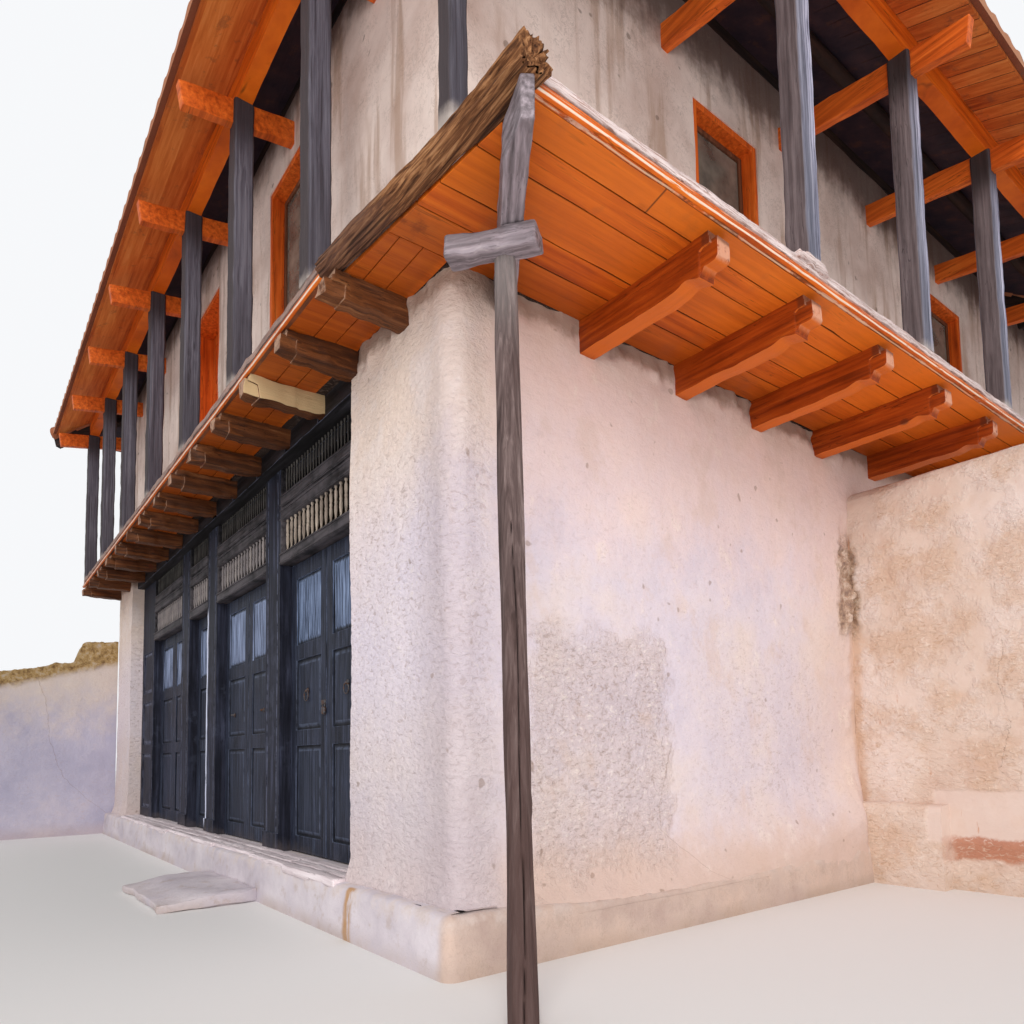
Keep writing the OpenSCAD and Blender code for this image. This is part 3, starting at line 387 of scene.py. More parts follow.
def soft_box(low, high, step, ease):
    """A box as a grid: its profile, a rectangle with eased corners, carried along its longest side."""
    low, high = np.array(low, float), np.array(high, float)
    span = high - low
    run = int(np.argmax(span))
    side, rise = [i for i in range(3) if i != run]
    a, b = span[side] / 2, span[rise] / 2
    ease = min(ease, a * 0.6, b * 0.6)
    turn = np.linspace(0, math.pi / 2, 3)
    loop = []
    for quarter, (sa, sb) in enumerate(((1, 1), (-1, 1), (-1, -1), (1, -1))):
        angle = turn + quarter * math.pi / 2
        loop.append(np.column_stack((sa * (a - ease) + ease * np.cos(angle), sb * (b - ease) + ease * np.sin(angle))))
        following = ((-1, 1), (-1, -1), (1, -1), (1, 1))[quarter]
        end, begin = loop[-1][-1], np.array((following[0] * (a - ease) + ease * np.cos(angle[-1]),
                                              following[1] * (b - ease) + ease * np.sin(angle[-1])))
        pieces = max(1, int(np.linalg.norm(begin - end) / max(step, 0.03)))
        loop.append(end + (begin - end) * (np.arange(1, pieces) / pieces)[:, None])
    loop = np.concatenate(loop)
    ends = np.concatenate(([0, ease], np.linspace(ease, span[run] - ease, max(2, int(span[run] / step)))[1:-1],
                           [span[run] - ease, span[run]]))
    shrink = np.ones(len(ends))
    shrink[[0, -1]] = 1 - ease * 0.6 / min(a, b)
    grid = np.zeros((len(ends), len(loop), 3))
    middle = (low + high) / 2
    grid[..., run] = (low[run] + ends)[:, None]
    grid[..., side] = middle[side] + loop[None, :, 0] * shrink[:, None]
    grid[..., rise] = middle[rise] + loop[None, :, 1] * shrink[:, None]
    return grid


def shaken(grid, size, amount, seed=0):
    """The grid moved in all three directions by three noises."""
    return grid + amount * np.stack([rough(grid, size, 3, seed + 11 * i) for i in range(3)], -1)


def timber(name, run, tones, across=28.0, along=1.6, gloss=0.55, relief=0.004, extra=None, shine=0.25, turn=0.0,
           wear=0.0, worn=(0.5, 0.4, 0.35)):
    """Grain along one axis: noise squeezed along the run, with finer fibres and long checks in it.

    The turn swings the run about the upright axis, in degrees; the eased arrises are lightened by the given share,
    partly as wear and partly as a painted highlight. The extra function lays more coats and may change the height."""
    f = Finish(name, Specular_IOR_Level=shine)
    if turn:
        f.place = f.node("Mapping", {}, {"Vector": f.place, "Rotation": (0, 0, math.radians(-turn))})
    squeeze = tuple(along if axis in run else across for axis in "xyz")
    f.grain = grain = f.noise(squeeze, detail=5, rough=0.6, warp=0.25)
    fibre = f.noise(tuple(5.0 * s for s in squeeze), shift=(3, 7, 1), detail=2, rough=0.6)
    stain = f.noise(2.4, detail=6, rough=0.6)
    f.colour = f.ramp(grain * 0.7 + stain * 0.3, *zip((0.3, 0.45, 0.58, 0.72), tones))
    checks = f.noise(tuple(0.5 * s for s in squeeze), shift=(9, 2, 5), detail=4, rough=0.6)
    checks = f.line(checks, 0.5, 0.012) * stain.rise(0.42, 0.6)
    f.coat(checks * 0.75, tuple(0.3 * c for c in tones[0]))
    f.height = grain * 0.7 + fibre * 0.3
    # The eased arrises are lightened partly as wear and partly as a painted highlight.
    if wear:
        arris = f.written("arris")
        f.coat(arris * f.noise(14, detail=5, rough=0.65).rise(0.36, 0.56) * wear, worn)
    if extra:
        extra(f)
    return f.surface_of(stain * 0.3 + gloss - 0.15, f.height, relief)


grey_tones = ((0.32, 0.26, 0.27), (0.68, 0.58, 0.6), (0.88, 0.78, 0.8), (0.95, 0.87, 0.89))
sill_grids, sill_x = [], -1.02
for k, (length, out) in enumerate(((0.78, 0.0), (0.7, 0.02), (0.86, 0.035), (0.64, 0.01), (0.9, 0.03), (0.82, 0.0),
                                   (0.75, 0.02), (0.88, 0.03))):
    for row, (near, far) in enumerate(((-0.118 + out, -0.03), (-0.024, 0.055), (0.06, 0.132))):
        start = sill_x - 0.12 * row
        ends = (start - length + 0.012, near, plinth_top - 0.03), (start, far, plinth_top + 0.016)
        sill_grids.append(shaken(soft_box(*ends, 0.05, 0.006), 0.12, 0.005, 40 + 3 * k + row))
    sill_x -= length
sill = joined("door_sill_planks", placed(sill_grids), timber("sill_planks", "x", grey_tones, across=34, relief=0.006))

# Step before the second bay. A single worn slab of limewashed stone.


step_low, step_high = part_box("door_step")
slab = soft_box(step_low, step_high, 0.04, 0.02)
middle = (slab.reshape(-1, 3).min(0) + slab.reshape(-1, 3).max(0)) / 2
reach = (slab - middle)[..., :2] / (np.array(step_high - step_low)[:2] / 2)
slab[..., 2] *= 1 - 0.4 * smooth(-reach[..., 1], 0.2, 1.0) - 0.12 * smooth(np.abs(reach[..., 0]), 0.6, 1.0)
slab[..., 2] = np.maximum(slab[..., 2] + 0.008 * rough(slab, 0.2, 3, 70) * (slab[..., 2] > 0.01), 0.0)
slab[..., :2] += 0.014 * np.stack([rough(slab, 0.2, 3, 74 + i) for i in range(2)], -1)
step_piece = joined("door_step_stone", [slab], bpy.data.materials["lime_render"])
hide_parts("door_step")

# Ground walls. Rubble and earth walls 45 cm thick with a lime and straw render, thrown on by
# hand: bellied, coarse where it was patched, and dragged out over the plinth as an apron. The
# right wall turns the near corner into the pier beside the doors.


def plaster_move(points, normals, upper):
    """How far the render stands out: bellies, hand marks, coarse patches and the apron at the foot."""
    y, z = points[..., 1], points[..., 2]
    move = 0.009 * lumps(points, 1.15, 1) + 0.0055 * lumps(points, 0.47, 2) + 0.003 * rough(points, 0.2, 3, 3)
    if upper:
        return move
    right = smooth(normals[..., 0], 0.3, 0.8)
    near = smooth(y, 3.7, 3.5)
    coarse = 0.45 + 0.9 * smooth(y, 0.42, 0.52) * smooth(y, 1.5, 1.42) * smooth(z, 1.62, 1.54) * right
    coarse = coarse + 0.25 * smooth(normals[..., 1], -0.3, -0.8)
    worms = np.abs(lumps(points, 0.045, 21) + 0.5 * lumps(points, 0.022, 22))
    move = move - 0.0045 * coarse * np.exp(-(worms / 0.16) ** 2)
    scar = right * np.exp(-((y - 3.49 - 0.06 * lumps(points, 0.35, 31)) / 0.06) ** 2) * smooth(z, 0.5, 0.75)
    torn_out = 0.35 + smooth(z, 1.7, 1.95) * smooth(z, 2.65, 2.45)
    move = move + scar * torn_out * (0.012 + 0.03 * rough(points, 0.08, 3, 33)) * smooth(z, 3.0, 2.7)
    torn = smooth(z, 3.02, 3.2) * near
    move = move + torn * 0.016 * rough(points, 0.09, 3, 41)
    crease = np.interp(y, (-0.07, 0.26, 0.63, 1.0, 1.93, 3.06, 3.5), (0.27, 0.255, 0.235, 0.205, 0.224, 0.34, 0.5))
    reach = np.interp(y, (0.0, 0.6, 3.4, 3.6), (0.045, 0.105, 0.115, 0.0)) * right
    height = 0.12 + 0.13 * np.clip(y, 0, 3.5)
    fall = np.clip(1 - (z - crease) / height, 0, 1)
    front = smooth(-normals[..., 1], 0.3, 0.9)
    foot = np.clip(1 - (z - 0.27) / 0.16, 0, 1)
    return move + reach * fall ** 1.6 + 0.04 * front * foot ** 2


def two_sheets(outer, inside, keep=None):
    """Points and faces of an outer and an inner sheet, closed along every edge and round every hole."""
    rows, cols = outer.shape[:2]
    number = np.arange(rows * cols).reshape(rows, cols)
    a, b, c, d = number[:-1, :-1], number[1:, :-1], number[1:, 1:], number[:-1, 1:]
    keep = np.ones(a.shape, bool) if keep is None else keep
    around, shift = np.pad(keep, 1), rows * cols
    faces = [np.stack((a, d, c, b), -1)[keep], np.stack((b, c, d, a), -1)[keep] + shift]
    for first, second, di, dj in ((a, d, -1, 0), (d, c, 0, 1), (c, b, 1, 0), (b, a, 0, -1)):
        rim = keep & ~around[1 + di:rows + di, 1 + dj:cols + dj]
        faces.append(np.stack((second[rim], first[rim], first[rim] + shift, second[rim] + shift), -1))
    used, faces = np.unique(np.concatenate(faces), return_inverse=True)
    points = np.concatenate((outer.reshape(-1, 3), inside.reshape(-1, 3)))[used]
    return points, faces.reshape(-1, 4).tolist()


def wall(name, corners, steps, levels, thickness, material, nodes_replaced, holes=(), marks=(), roof=None):
    """A wall as an outer sheet moved by the render's relief and a flat inner sheet, closed at every edge.

    Rows go up through the levels and columns along the plan. A hole is (axis, low, high, z low, z high, side),
    where the side is the wall's own place. The roof function cuts an upper wall off above."""
    line, out = plan(corners, 0.1, steps, marks)
    rows, cols = len(levels), len(line)
    outer = np.zeros((rows, cols, 3))
    outer[..., :2] = line
    outer[..., 2] = levels[:, None]
    inside = outer.copy()
    for axis, (low, high) in enumerate(((house_left + thickness, -thickness), (thickness, house_depth - thickness))):
        inside[..., axis] = np.clip(inside[..., axis], low, high)
    keep = np.ones((rows - 1, cols - 1), bool)
    centre = (outer[:-1, :-1] + outer[1:, 1:]) / 2
    for axis, low, high, z_low, z_high, side in holes:
        keep &= ~((centre[..., axis] > low) & (centre[..., axis] < high) & (centre[..., 2] > z_low)
                  & (centre[..., 2] < z_high) & (np.abs(centre[..., 1 - axis] - side) < 0.05))
    if roof:
        for sheet in (outer, inside):
            sheet[..., 2] = np.minimum(sheet[..., 2], roof(sheet[..., 0], sheet[..., 1]))
    normals = np.zeros_like(outer)
    normals[..., :2] = out
    outer += normals * plaster_move(outer, normals, upper=bool(roof))[..., None]
    points, faces = two_sheets(outer, inside, keep)
    piece = made(name, points + (corner_x, corner_y, 0), faces, material, sharp=50)
    flatten(piece)
    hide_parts(*nodes_replaced)
    return piece


def flatten(piece):
    """Merges faces that lie in one plane, such as those of an inner sheet, which needs no fine grid."""
    work = bmesh.new()
    work.from_mesh(piece.data)
    bmesh.ops.dissolve_limit(work, angle_limit=0.001, verts=work.verts, edges=work.edges)
    work.to_mesh(piece.data)
    work.free()


def ground_render():
    """Pale render: lavender white where smooth, dabbed and straw coloured where coarse, warm at its edges, with painted
    shade in a dark band along its top under the gallery.
    """
    f = Finish("ground_render", Specular_IOR_Level=0.15)
    clouds = f.noise(1.3, detail=6, rough=0.6)
    blots = f.noise(4.5, f.stretched((1, 1, 0.8), (5, 2, 0)), detail=6, rough=0.65)
    dabs = f.noise(25, f.stretched((1, 1, 1.7), (4, 8, 3)), detail=4, rough=0.66, warp=0.45)
    front = (f.y + blots * 0.3).rise(0.5, 0.28)
    fray = f.noise(9, detail=5, rough=0.7) * 0.24 - 0.12
    drift = blots * 0.6 - 0.3
    patch = (f.y + drift).within(0.42, 1.44, 0.07) * (f.z + drift).within(0.3, 1.58, 0.09) * blots.rise(0.2, 0.46)
    far_patch = (f.y + clouds * 0.8).within(2.1, 3.6, 0.3) * (f.z + blots * 0.9).within(0.9, 2.1, 0.3)
    coarse = (front * 0.85).most(patch).most(far_patch * 0.6).most(blots.rise(0.5, 0.68) * 0.6).most(0.25)
    coarse = coarse * f.z.rise(3.0, 2.2).most(0.35)
    f.colour = f.ramp(clouds, (0.34, (0.62, 0.56, 0.65)), (0.48, (0.7, 0.62, 0.68)), (0.62, (0.75, 0.64, 0.62)))
    warm = (f.z + blots).rise(2.5, 3.6).most((f.y + blots * 0.6).rise(2.9, 3.9))
    warm = warm.most((f.z + blots * 0.5).rise(1.0, 0.5))
    f.coat(warm * 0.7, (0.72, 0.54, 0.45))
    f.coat((1 - front) * (f.z + blots).rise(2.2, 2.9) * f.z.rise(3.15, 2.8) * 0.5, (0.84, 0.64, 0.6))
    cream = front * (f.z + blots * 1.2 - f.x * 0.5).rise(2.5, 3.3)
    f.coat(cream * 0.75, (0.82, 0.64, 0.5))
    f.coat(front * (0.3 + blots.rise(0.45, 0.62) * 0.35), (0.83, 0.73, 0.71))
    f.coat(front * (f.z + blots * 0.8).within(1.5, 2.7, 0.35) * 0.45, (0.74, 0.68, 0.82))
    f.coat((1 - front) * blots.rise(0.58, 0.7) * 0.4, (0.86, 0.76, 0.68))
    f.coat(patch.most(far_patch * 0.4) * 0.4, (0.6, 0.47, 0.42))
    f.coat(dabs.rise(0.46, 0.34) * coarse * 0.6, (0.4, 0.3, 0.27))
    f.coat(dabs.rise(0.56, 0.68) * coarse * 0.45, (0.9, 0.81, 0.74))
    flecks = f.noise(55, f.stretched((1, 1, 1.6), (3, 1, 2)), detail=3, rough=0.65)
    f.coat(flecks.rise(0.58, 0.66) * coarse * (0.5 - front * 0.17), (0.34, 0.25, 0.21))
    mottle = f.noise(2.7, f.stretched((1, 1, 0.8), (8, 3, 1)), detail=6, rough=0.65)
    f.coat(mottle.rise(0.54, 0.66) * (1 - front) * 0.4, (0.66, 0.5, 0.43))
    arris = (f.x + blots * 0.2).rise(-0.4, 0.05) * (f.y + blots * 0.2).rise(0.4, 0.05)
    f.coat(arris * (f.z + blots * 0.6).rise(4.2, 2.2) * 0.62, (0.42, 0.34, 0.36))
    corner = f.x.rise(-0.3, -0.2) * f.y.rise(3.95, 3.85)
    torn = (f.y + blots * 0.4 - f.z * 0.06).rise(3.4, 3.52) * (f.z + blots * 0.4).within(2.0, 2.72, 0.12) * corner
    clods = f.noise(20, f.stretched((1, 1, 0.6), (7, 7, 7)), detail=5, rough=0.7)
    line_down = (f.y + blots * 0.1).rise(3.52, 3.58) * f.z.rise(2.9, 2.2) * corner
    f.coat(line_down * 0.45, (0.6, 0.38, 0.24))
    f.coat(torn * 0.8, f.ramp(clods, (0.36, (0.16, 0.08, 0.045)), (0.5, (0.42, 0.26, 0.16)), (0.62, (0.7, 0.55, 0.44))))
    low = (f.z + blots * 0.5).rise(0.85, 0.45)
    f.coat(low * (1 - front) * 0.65, (0.58, 0.42, 0.35))
    f.coat(front * (f.z + clouds).rise(2.3, 0.9) * 0.45, (0.52, 0.45, 0.49))
    crack_points = ((0.182, 1.858), (0.26, 1.677), (0.512, 1.362), (0.677, 1.354), (1.009, 1.472))
    crack = f.trail(f.z, f.y, crack_points, 0.005, 0.012) * f.x.rise(-0.2, -0.1)
    pits = f.noise(17, detail=0).rise(0.8, 0.86)
    marks = (crack * 0.6).most(pits * 0.7)
    f.coat(marks * 0.7, (0.26, 0.17, 0.12))
    # Painted shade: a ragged dark band along the wall's top, where it runs in under the gallery boards.
    crevice_shade = (f.z + fray * 0.6).rise(3.12, 3.2)
    f.coat(crevice_shade * 0.8, (0.2, 0.12, 0.085))
    f.coat((f.z + blots * 0.4).rise(3.1, 3.4) * 0.3, (0.5, 0.36, 0.28))
    stains = f.noise((9, 9, 1.1), detail=5, rough=0.6).rise(0.58, 0.75) * f.z.rise(1.2, 2.8)
    f.coat(stains * 0.25, (0.6, 0.46, 0.38))
    dabbed = (front * 0.85).most(patch).most(0.25)
    height = blots * 0.5 + dabs * (dabbed * 1.2 + torn * 1.5)
    return f.surface_of(0.93, height, 0.013)


def window_holes(axis, places, low, high, side):
    """Openings of one width in the wall that stands at that side, centred on the places."""
    half = 0.345
    return [(axis, place - half, place + half, low, high, side) for place in places]


wall_foot, ground_top, ground_thick = 0.15, 3.26, 0.45
pier_end, left_pier_end = -1.05, -7.408
low_sill, low_lintel, windows_x = 1.37, 2.52, (-2.0875, -6.2625)
fine_to = 3.65
ground_finish = ground_render()
wall("near_walls_render", ((pier_end, 0), (0, 0), (0, house_depth), (-ground_thick, house_depth)), (0.02, 0.02, 0.06),
     stops(wall_foot, ground_top, step=0.02), ground_thick, ground_finish, ("corner_pier", "right_wall"),
     marks=((1, fine_to, 0.09),))
low_windows = window_holes(0, windows_x, low_sill, low_lintel, house_depth)
wall("far_walls_render", ((-ground_thick, house_depth), (house_left, house_depth), (house_left, 0), (left_pier_end, 0)),
     (0.08, 0.08, 0.03), stops(wall_foot, low_sill, low_lintel, ground_top, step=0.06), ground_thick, ground_finish,
     ("back_wall", "left_wall", "left_pier"), holes=low_windows,
     marks=tuple((0, edge, 0.08) for hole in low_windows for edge in hole[1:3]))

# Upper walls. The same rubble and earth, 38 cm thick, under a thinner, browner render that the
# smoke and dust of the gallery have darkened; rain has drawn brown streaks down it. Its top under the
# roof is painted dark, partly as smoke-blackening and partly as shade, and its foot is painted black
# as the shade where the gallery floor meets it.

eave_z, roof_rise = 5.359, math.tan(math.radians(22))
eave_high, eave_low = (1.25, 8.45), (-8.7, -0.755)


def roof_underside(x, y, clear=0.012):
    """Height of the roof's underside over a point of the plan."""
    depth = np.minimum(np.minimum(eave_high[0] - x, eave_high[1] - y), np.minimum(x - eave_low[0], y - eave_low[1]))
    return eave_z + roof_rise * depth - clear


def upper_render():
    """Grey-tan render with brown streaks under the roof and grey bloom between them, painted dark at its top under the
    roof, partly smoke-blackening and partly shade, and painted black along its foot as shade.
    """
    f = Finish("upper_render", Specular_IOR_Level=0.15)
    clouds = f.noise(1.6, detail=7, rough=0.62)
    blots = f.noise(6, detail=6, rough=0.65)
    grit = f.noise(90, detail=2, rough=0.75)
    worms = f.line(f.noise(20, detail=3, rough=0.6, warp=1.4), 0.5, 0.05)
    f.colour = f.ramp(clouds, (0.32, (0.58, 0.43, 0.37)), (0.5, (0.74, 0.6, 0.54)), (0.68, (0.87, 0.73, 0.66)))
    streaks = f.noise((7, 7, 0.7), detail=6, rough=0.6, warp=0.3)
    f.coat(streaks.rise(0.5, 0.66) * 0.6, (0.4, 0.25, 0.17))
    f.coat(streaks.rise(0.42, 0.3) * 0.4, (0.66, 0.56, 0.52))
    # Darker at the top under the roof: partly smoke-blackening, partly painted shade.
    soot_and_shade = (f.z + blots * 0.45 + streaks * 0.3).rise(5.6, 5.95)
    f.coat(soot_and_shade * 0.85, (0.1, 0.055, 0.045))
    f.coat((f.z + blots * 0.3).rise(3.75, 3.5) * 0.45, (0.5, 0.4, 0.37))
    # Painted shade: a black band along the wall's foot, where the gallery floor meets it.
    f.coat(f.z.rise(3.29, 3.27), (0.04, 0.025, 0.02))
    f.coat(worms * blots.rise(0.4, 0.6) * 0.35, (0.3, 0.22, 0.18))
    pits = f.noise(13, detail=0).rise(0.8, 0.86)
    f.coat(pits * 0.6, (0.18, 0.12, 0.09))
    return f.surface_of(0.94, blots * 0.5 + grit * 0.15, 0.009)


upper_finish, upper_thick = upper_render(), 0.38
sill_z, lintel_z, door_z = 4.0, 5.15, 3.37
front_windows, back_windows = (window_holes(0, windows_x, sill_z, lintel_z, side) for side in (0.0, house_depth))
upper_doorway = (0, -4.625, -3.725, door_z, lintel_z, 0.0)
inner_left = house_left + upper_thick


def upper_wall(side, corners, step, top, holes=()):
    """One upper wall up to the roof's underside, with rows and columns at the edges of its openings."""
    marks = tuple((hole[0], edge, step) for hole in holes for edge in hole[1:3])
    levels = stops(ground_top, door_z, sill_z, lintel_z, top, step=step)
    wall("upper_" + side + "_render", corners, (step,) * 3, levels, upper_thick, upper_finish,
         ("upper_" + side + "_wall",), holes, marks, roof=roof_underside)


upper_wall("right", ((-upper_thick, 0), (0, 0), (0, house_depth), (-upper_thick, house_depth)), 0.03, 5.774,
           window_holes(1, (2.225, 5.6), sill_z, lintel_z, 0.0))
upper_wall("front", ((inner_left, 0), (-upper_thick, 0)), 0.045, 5.574, front_windows + [upper_doorway])
upper_wall("back", ((-upper_thick, house_depth), (inner_left, house_depth)), 0.08, 5.41, back_windows)
upper_wall("left", ((inner_left, house_depth), (house_left, house_depth), (house_left, 0), (inner_left, 0)), 0.08, 5.41)

# Door frame. Square posts of dark oiled wood with a rounded staff on each edge, each standing on
# a base block, and a pair of beams over them. The wood has gone black and is worn at the edges, where
# a painted highlight also lies; a pale glint is painted down the edge of one post.


def hewn(node, material, body="house", cuts=(), edge=0.004, shake=0.002, size=0.16, smooth_to=32, shape=None):
    """A copy of a CAD node as worked timber: flat faces merged, cut across its run, arrises eased, moved by noise.

    A cut is (axis, step). Every point moves by three noises of that size, at most by the shake. The shape
    function may move the points first. Slanting faces get an arris attribute of 1, for wear and a painted highlight."""
    work = bmesh.new()
    work.from_mesh(nodes[node].data)
    bmesh.ops.remove_doubles(work, verts=work.verts, dist=1e-5)
    bmesh.ops.dissolve_limit(work, angle_limit=math.radians(1), verts=work.verts, edges=work.edges)
    if edge:
        rims = [e for e in work.edges if e.is_manifold and e.calc_face_angle() > 0.5]
        bmesh.ops.bevel(work, geom=rims, offset=edge, offset_type="OFFSET", segments=2, profile=0.5,
                        affect="EDGES", clamp_overlap=True)
    low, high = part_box(node)
    for axis, step in cuts:
        across = Vector([i == axis for i in range(3)])
        for place in np.arange(low[axis] + step * 0.5, high[axis], step):
            bmesh.ops.bisect_plane(work, geom=work.verts[:] + work.edges[:] + work.faces[:], dist=1e-6,
                                   plane_co=across * place, plane_no=across)
    mesh = bpy.data.meshes.new(node)
    work.to_mesh(mesh)
    work.free()
    points = np.empty(len(mesh.vertices) * 3, np.float32)
    mesh.vertices.foreach_get("co", points)
    points = points.reshape(-1, 3).astype(float)
    slant = np.empty(len(mesh.polygons) * 3, np.float32)
    mesh.polygons.foreach_get("normal", slant)
    slant = np.abs(slant.reshape(-1, 3)).max(axis=1) < 0.985
    mesh.attributes.new("arris", "FLOAT", "FACE").data.foreach_set("value", slant.astype(np.float32))
    if shape:
        points = shape(points - (corner_x, corner_y, 0)) + (corner_x, corner_y, 0)
    points = shaken(points, size, shake, len(node))
    mesh.vertices.foreach_set("co", points.astype(np.float32).ravel())
    mesh.polygons.foreach_set("use_smooth", [True] * len(mesh.polygons))
    mesh.set_sharp_from_angle(angle=math.radians(smooth_to))
    mesh.materials.append(material)
    piece = in_scene(node + "_worn", mesh)
    weighted = piece.modifiers.new("even_shading", "WEIGHTED_NORMAL")
    weighted.keep_sharp = True
    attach(piece, body)
    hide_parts(node)
    return piece


black_tones = ((0.005, 0.005, 0.009), (0.013, 0.014, 0.023), (0.03, 0.033, 0.054), (0.08, 0.09, 0.145))


def dusty_foot(f):
    """Dust and splashes on the lowest part, grey rubbing where hands and shoulders pass, and a painted glint down the
    edge of one post.
    """
    blots = f.noise(7, detail=6, rough=0.65)
    dust = (f.z + blots * 0.25).rise(0.5, 0.36)
    f.coat(dust * 0.4, (0.15, 0.12, 0.115))
    rubbed = f.z.within(0.9, 1.9, 0.3) * blots.rise(0.52, 0.66)
    f.coat(rubbed * 0.25, (0.1, 0.115, 0.17))
    # Painted highlight: a pale blue-white glint down the front edge of the post beside the third bay.
    painted_glint = f.x.within(-4.517, -4.466, 0.012) * f.y.rise(0.17, 0.155) * f.z.within(0.36, 2.34, 0.06)
    f.coat(painted_glint * blots.rise(0.2, 0.4), (0.74, 0.78, 0.95))


# The arrises' grey-blue: partly rubbed wear, partly painted highlight.
worn_and_lit_grey = (0.15, 0.165, 0.24)
frame_wood = timber("frame_wood", "z", black_tones, across=30, along=1.8, relief=0.003, extra=dusty_foot, shine=0.12,
                    wear=0.6, worn=worn_and_lit_grey)


def dusty_rails(f):
    """Dust and fading turn the lower rails over the doors mauve grey; the beam above them stays black."""
    faded = f.noise(5, detail=5, rough=0.65).rise(0.3, 0.6) * f.z.rise(2.98, 2.86)
    f.coat(faded * (f.grain.rise(0.3, 0.6) * 0.5 + 0.25), (0.12, 0.105, 0.115))


beam_tones = ((0.005, 0.004, 0.004), (0.012, 0.011, 0.012), (0.027, 0.025, 0.029), (0.07, 0.066, 0.08))
frame_wood_across = timber("frame_wood_across", "x", beam_tones, across=30, along=1.8, relief=0.003, extra=dusty_rails,
                           shine=0.12, wear=0.6, worn=worn_and_lit_grey)
hewn("door_posts", frame_wood, cuts=((2, 0.08),), edge=0.006, shake=0.003)
hewn("door_beam", frame_wood_across, cuts=((0, 0.12),), edge=0.006, shake=0.004)
hewn("side_panel", frame_wood, cuts=((2, 0.1),), edge=0.003, shake=0.002)

# Transoms. Over each bay a head rail, a row of stout turned spindles, two rails with a groove
# between them and a row of fine spindles up to the beam; the spindles are pegged into the rails.

bays = ((-2.574, -1.25), (-4.198, -2.874), (-5.164, -4.498), (-6.788, -5.464))
face_y, back_y = 0.14, 0.20


def turned(profile, sides, x, y, base):
    """A lathe form: each (radius, height) of the profile becomes a level round the upright axis."""
    radius, height = np.array(profile).T * ((0.85,), (1,))
    angle = circle(sides)
    grid = np.zeros((len(profile), sides, 3))
    grid[..., 0] = x + radius[:, None] * np.cos(angle)
    grid[..., 1] = y + radius[:, None] * np.sin(angle)
    grid[..., 2] = base + height[:, None]
    return grid


stout = ((0.012, -0.004), (0.015, 0.012), (0.008, 0.022), (0.009, 0.034), (0.0145, 0.07), (0.015, 0.1), (0.011, 0.118),
         (0.0145, 0.124), (0.0145, 0.134), (0.011, 0.14), (0.015, 0.17), (0.0145, 0.2), (0.009, 0.214), (0.008, 0.222),
         (0.015, 0.23), (0.012, 0.245))
fine = ((0.008, -0.004), (0.009, 0.015), (0.005, 0.03), (0.0085, 0.1), (0.005, 0.175), (0.009, 0.19), (0.008, 0.208))
rails, stouts, fines = [], [], []
for left, right in bays:
    width = right - left
    for low_z, high_z, near, far in ((2.386, 2.476, face_y, 0.338), (2.716, 2.806, face_y, back_y),
                                     (2.8, 2.832, 0.152, back_y), (2.826, 2.916, face_y, back_y)):
        rails.append(soft_box((left, near, low_z), (right, far, high_z), 0.12, 0.006))
    for low_z in (2.392, 2.458, 2.722, 2.788, 2.832, 2.898):
        ends = (left + 0.002, face_y - 0.007, low_z), (right - 0.002, face_y + 0.006, low_z + 0.013)
        rails.append(soft_box(*ends, 0.2, 0.005))
    for edge in (left, right - 0.03):
        rails.append(soft_box((edge, face_y + 0.002, 2.47), (edge + 0.03, back_y, 3.12), 0.12, 0.005))
    for row, pitch, thick, base, form in ((stouts, 0.078, 0.03, 2.476, stout), (fines, 0.052, 0.018, 2.916, fine)):
        count = math.floor((width - thick) / pitch)
        for i in range(1, count + 1):
            row.append(turned(form, 8 if row is stouts else 6, left + i * width / (count + 1), 0.17, base))
transom_rails = joined("transom_rails", placed([shaken(g, 0.15, 0.002, 5) for g in rails]), frame_wood_across)
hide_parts("transoms")
tan_tones = ((0.12, 0.095, 0.078), (0.27, 0.215, 0.175), (0.46, 0.38, 0.31), (0.62, 0.52, 0.43))
dull_tones = ((0.02, 0.018, 0.016), (0.045, 0.04, 0.037), (0.09, 0.082, 0.075), (0.17, 0.155, 0.14))


def far_spindles(f):
    """Past the first bay the spindles are greyer and bluer."""
    f.coat(f.x.rise(-2.6, -2.9) * 0.55, (0.17, 0.165, 0.2))


for name, grids, tones, extra in (("transom_stout_spindles", stouts, tan_tones, far_spindles),
                                  ("transom_fine_spindles", fines, dull_tones, None)):
    spindle_wood = timber(name, "z", tones, across=40, along=4, gloss=0.55, relief=0.002, extra=extra)
    spindles = joined(name, placed(grids), spindle_wood, sharp=60)

# Door leaves. Panelled leaves of the same black wood on wooden pivots, each with three raised
# and fielded panels. Rain and hands have worn pale streaks into the upper panels, whose blue is partly a
# painted reflection of the sky; shade is painted in the sunk margins round the panels. The first two
# pairs carry iron rings or knobs, and the first one also a hasp with a padlock.


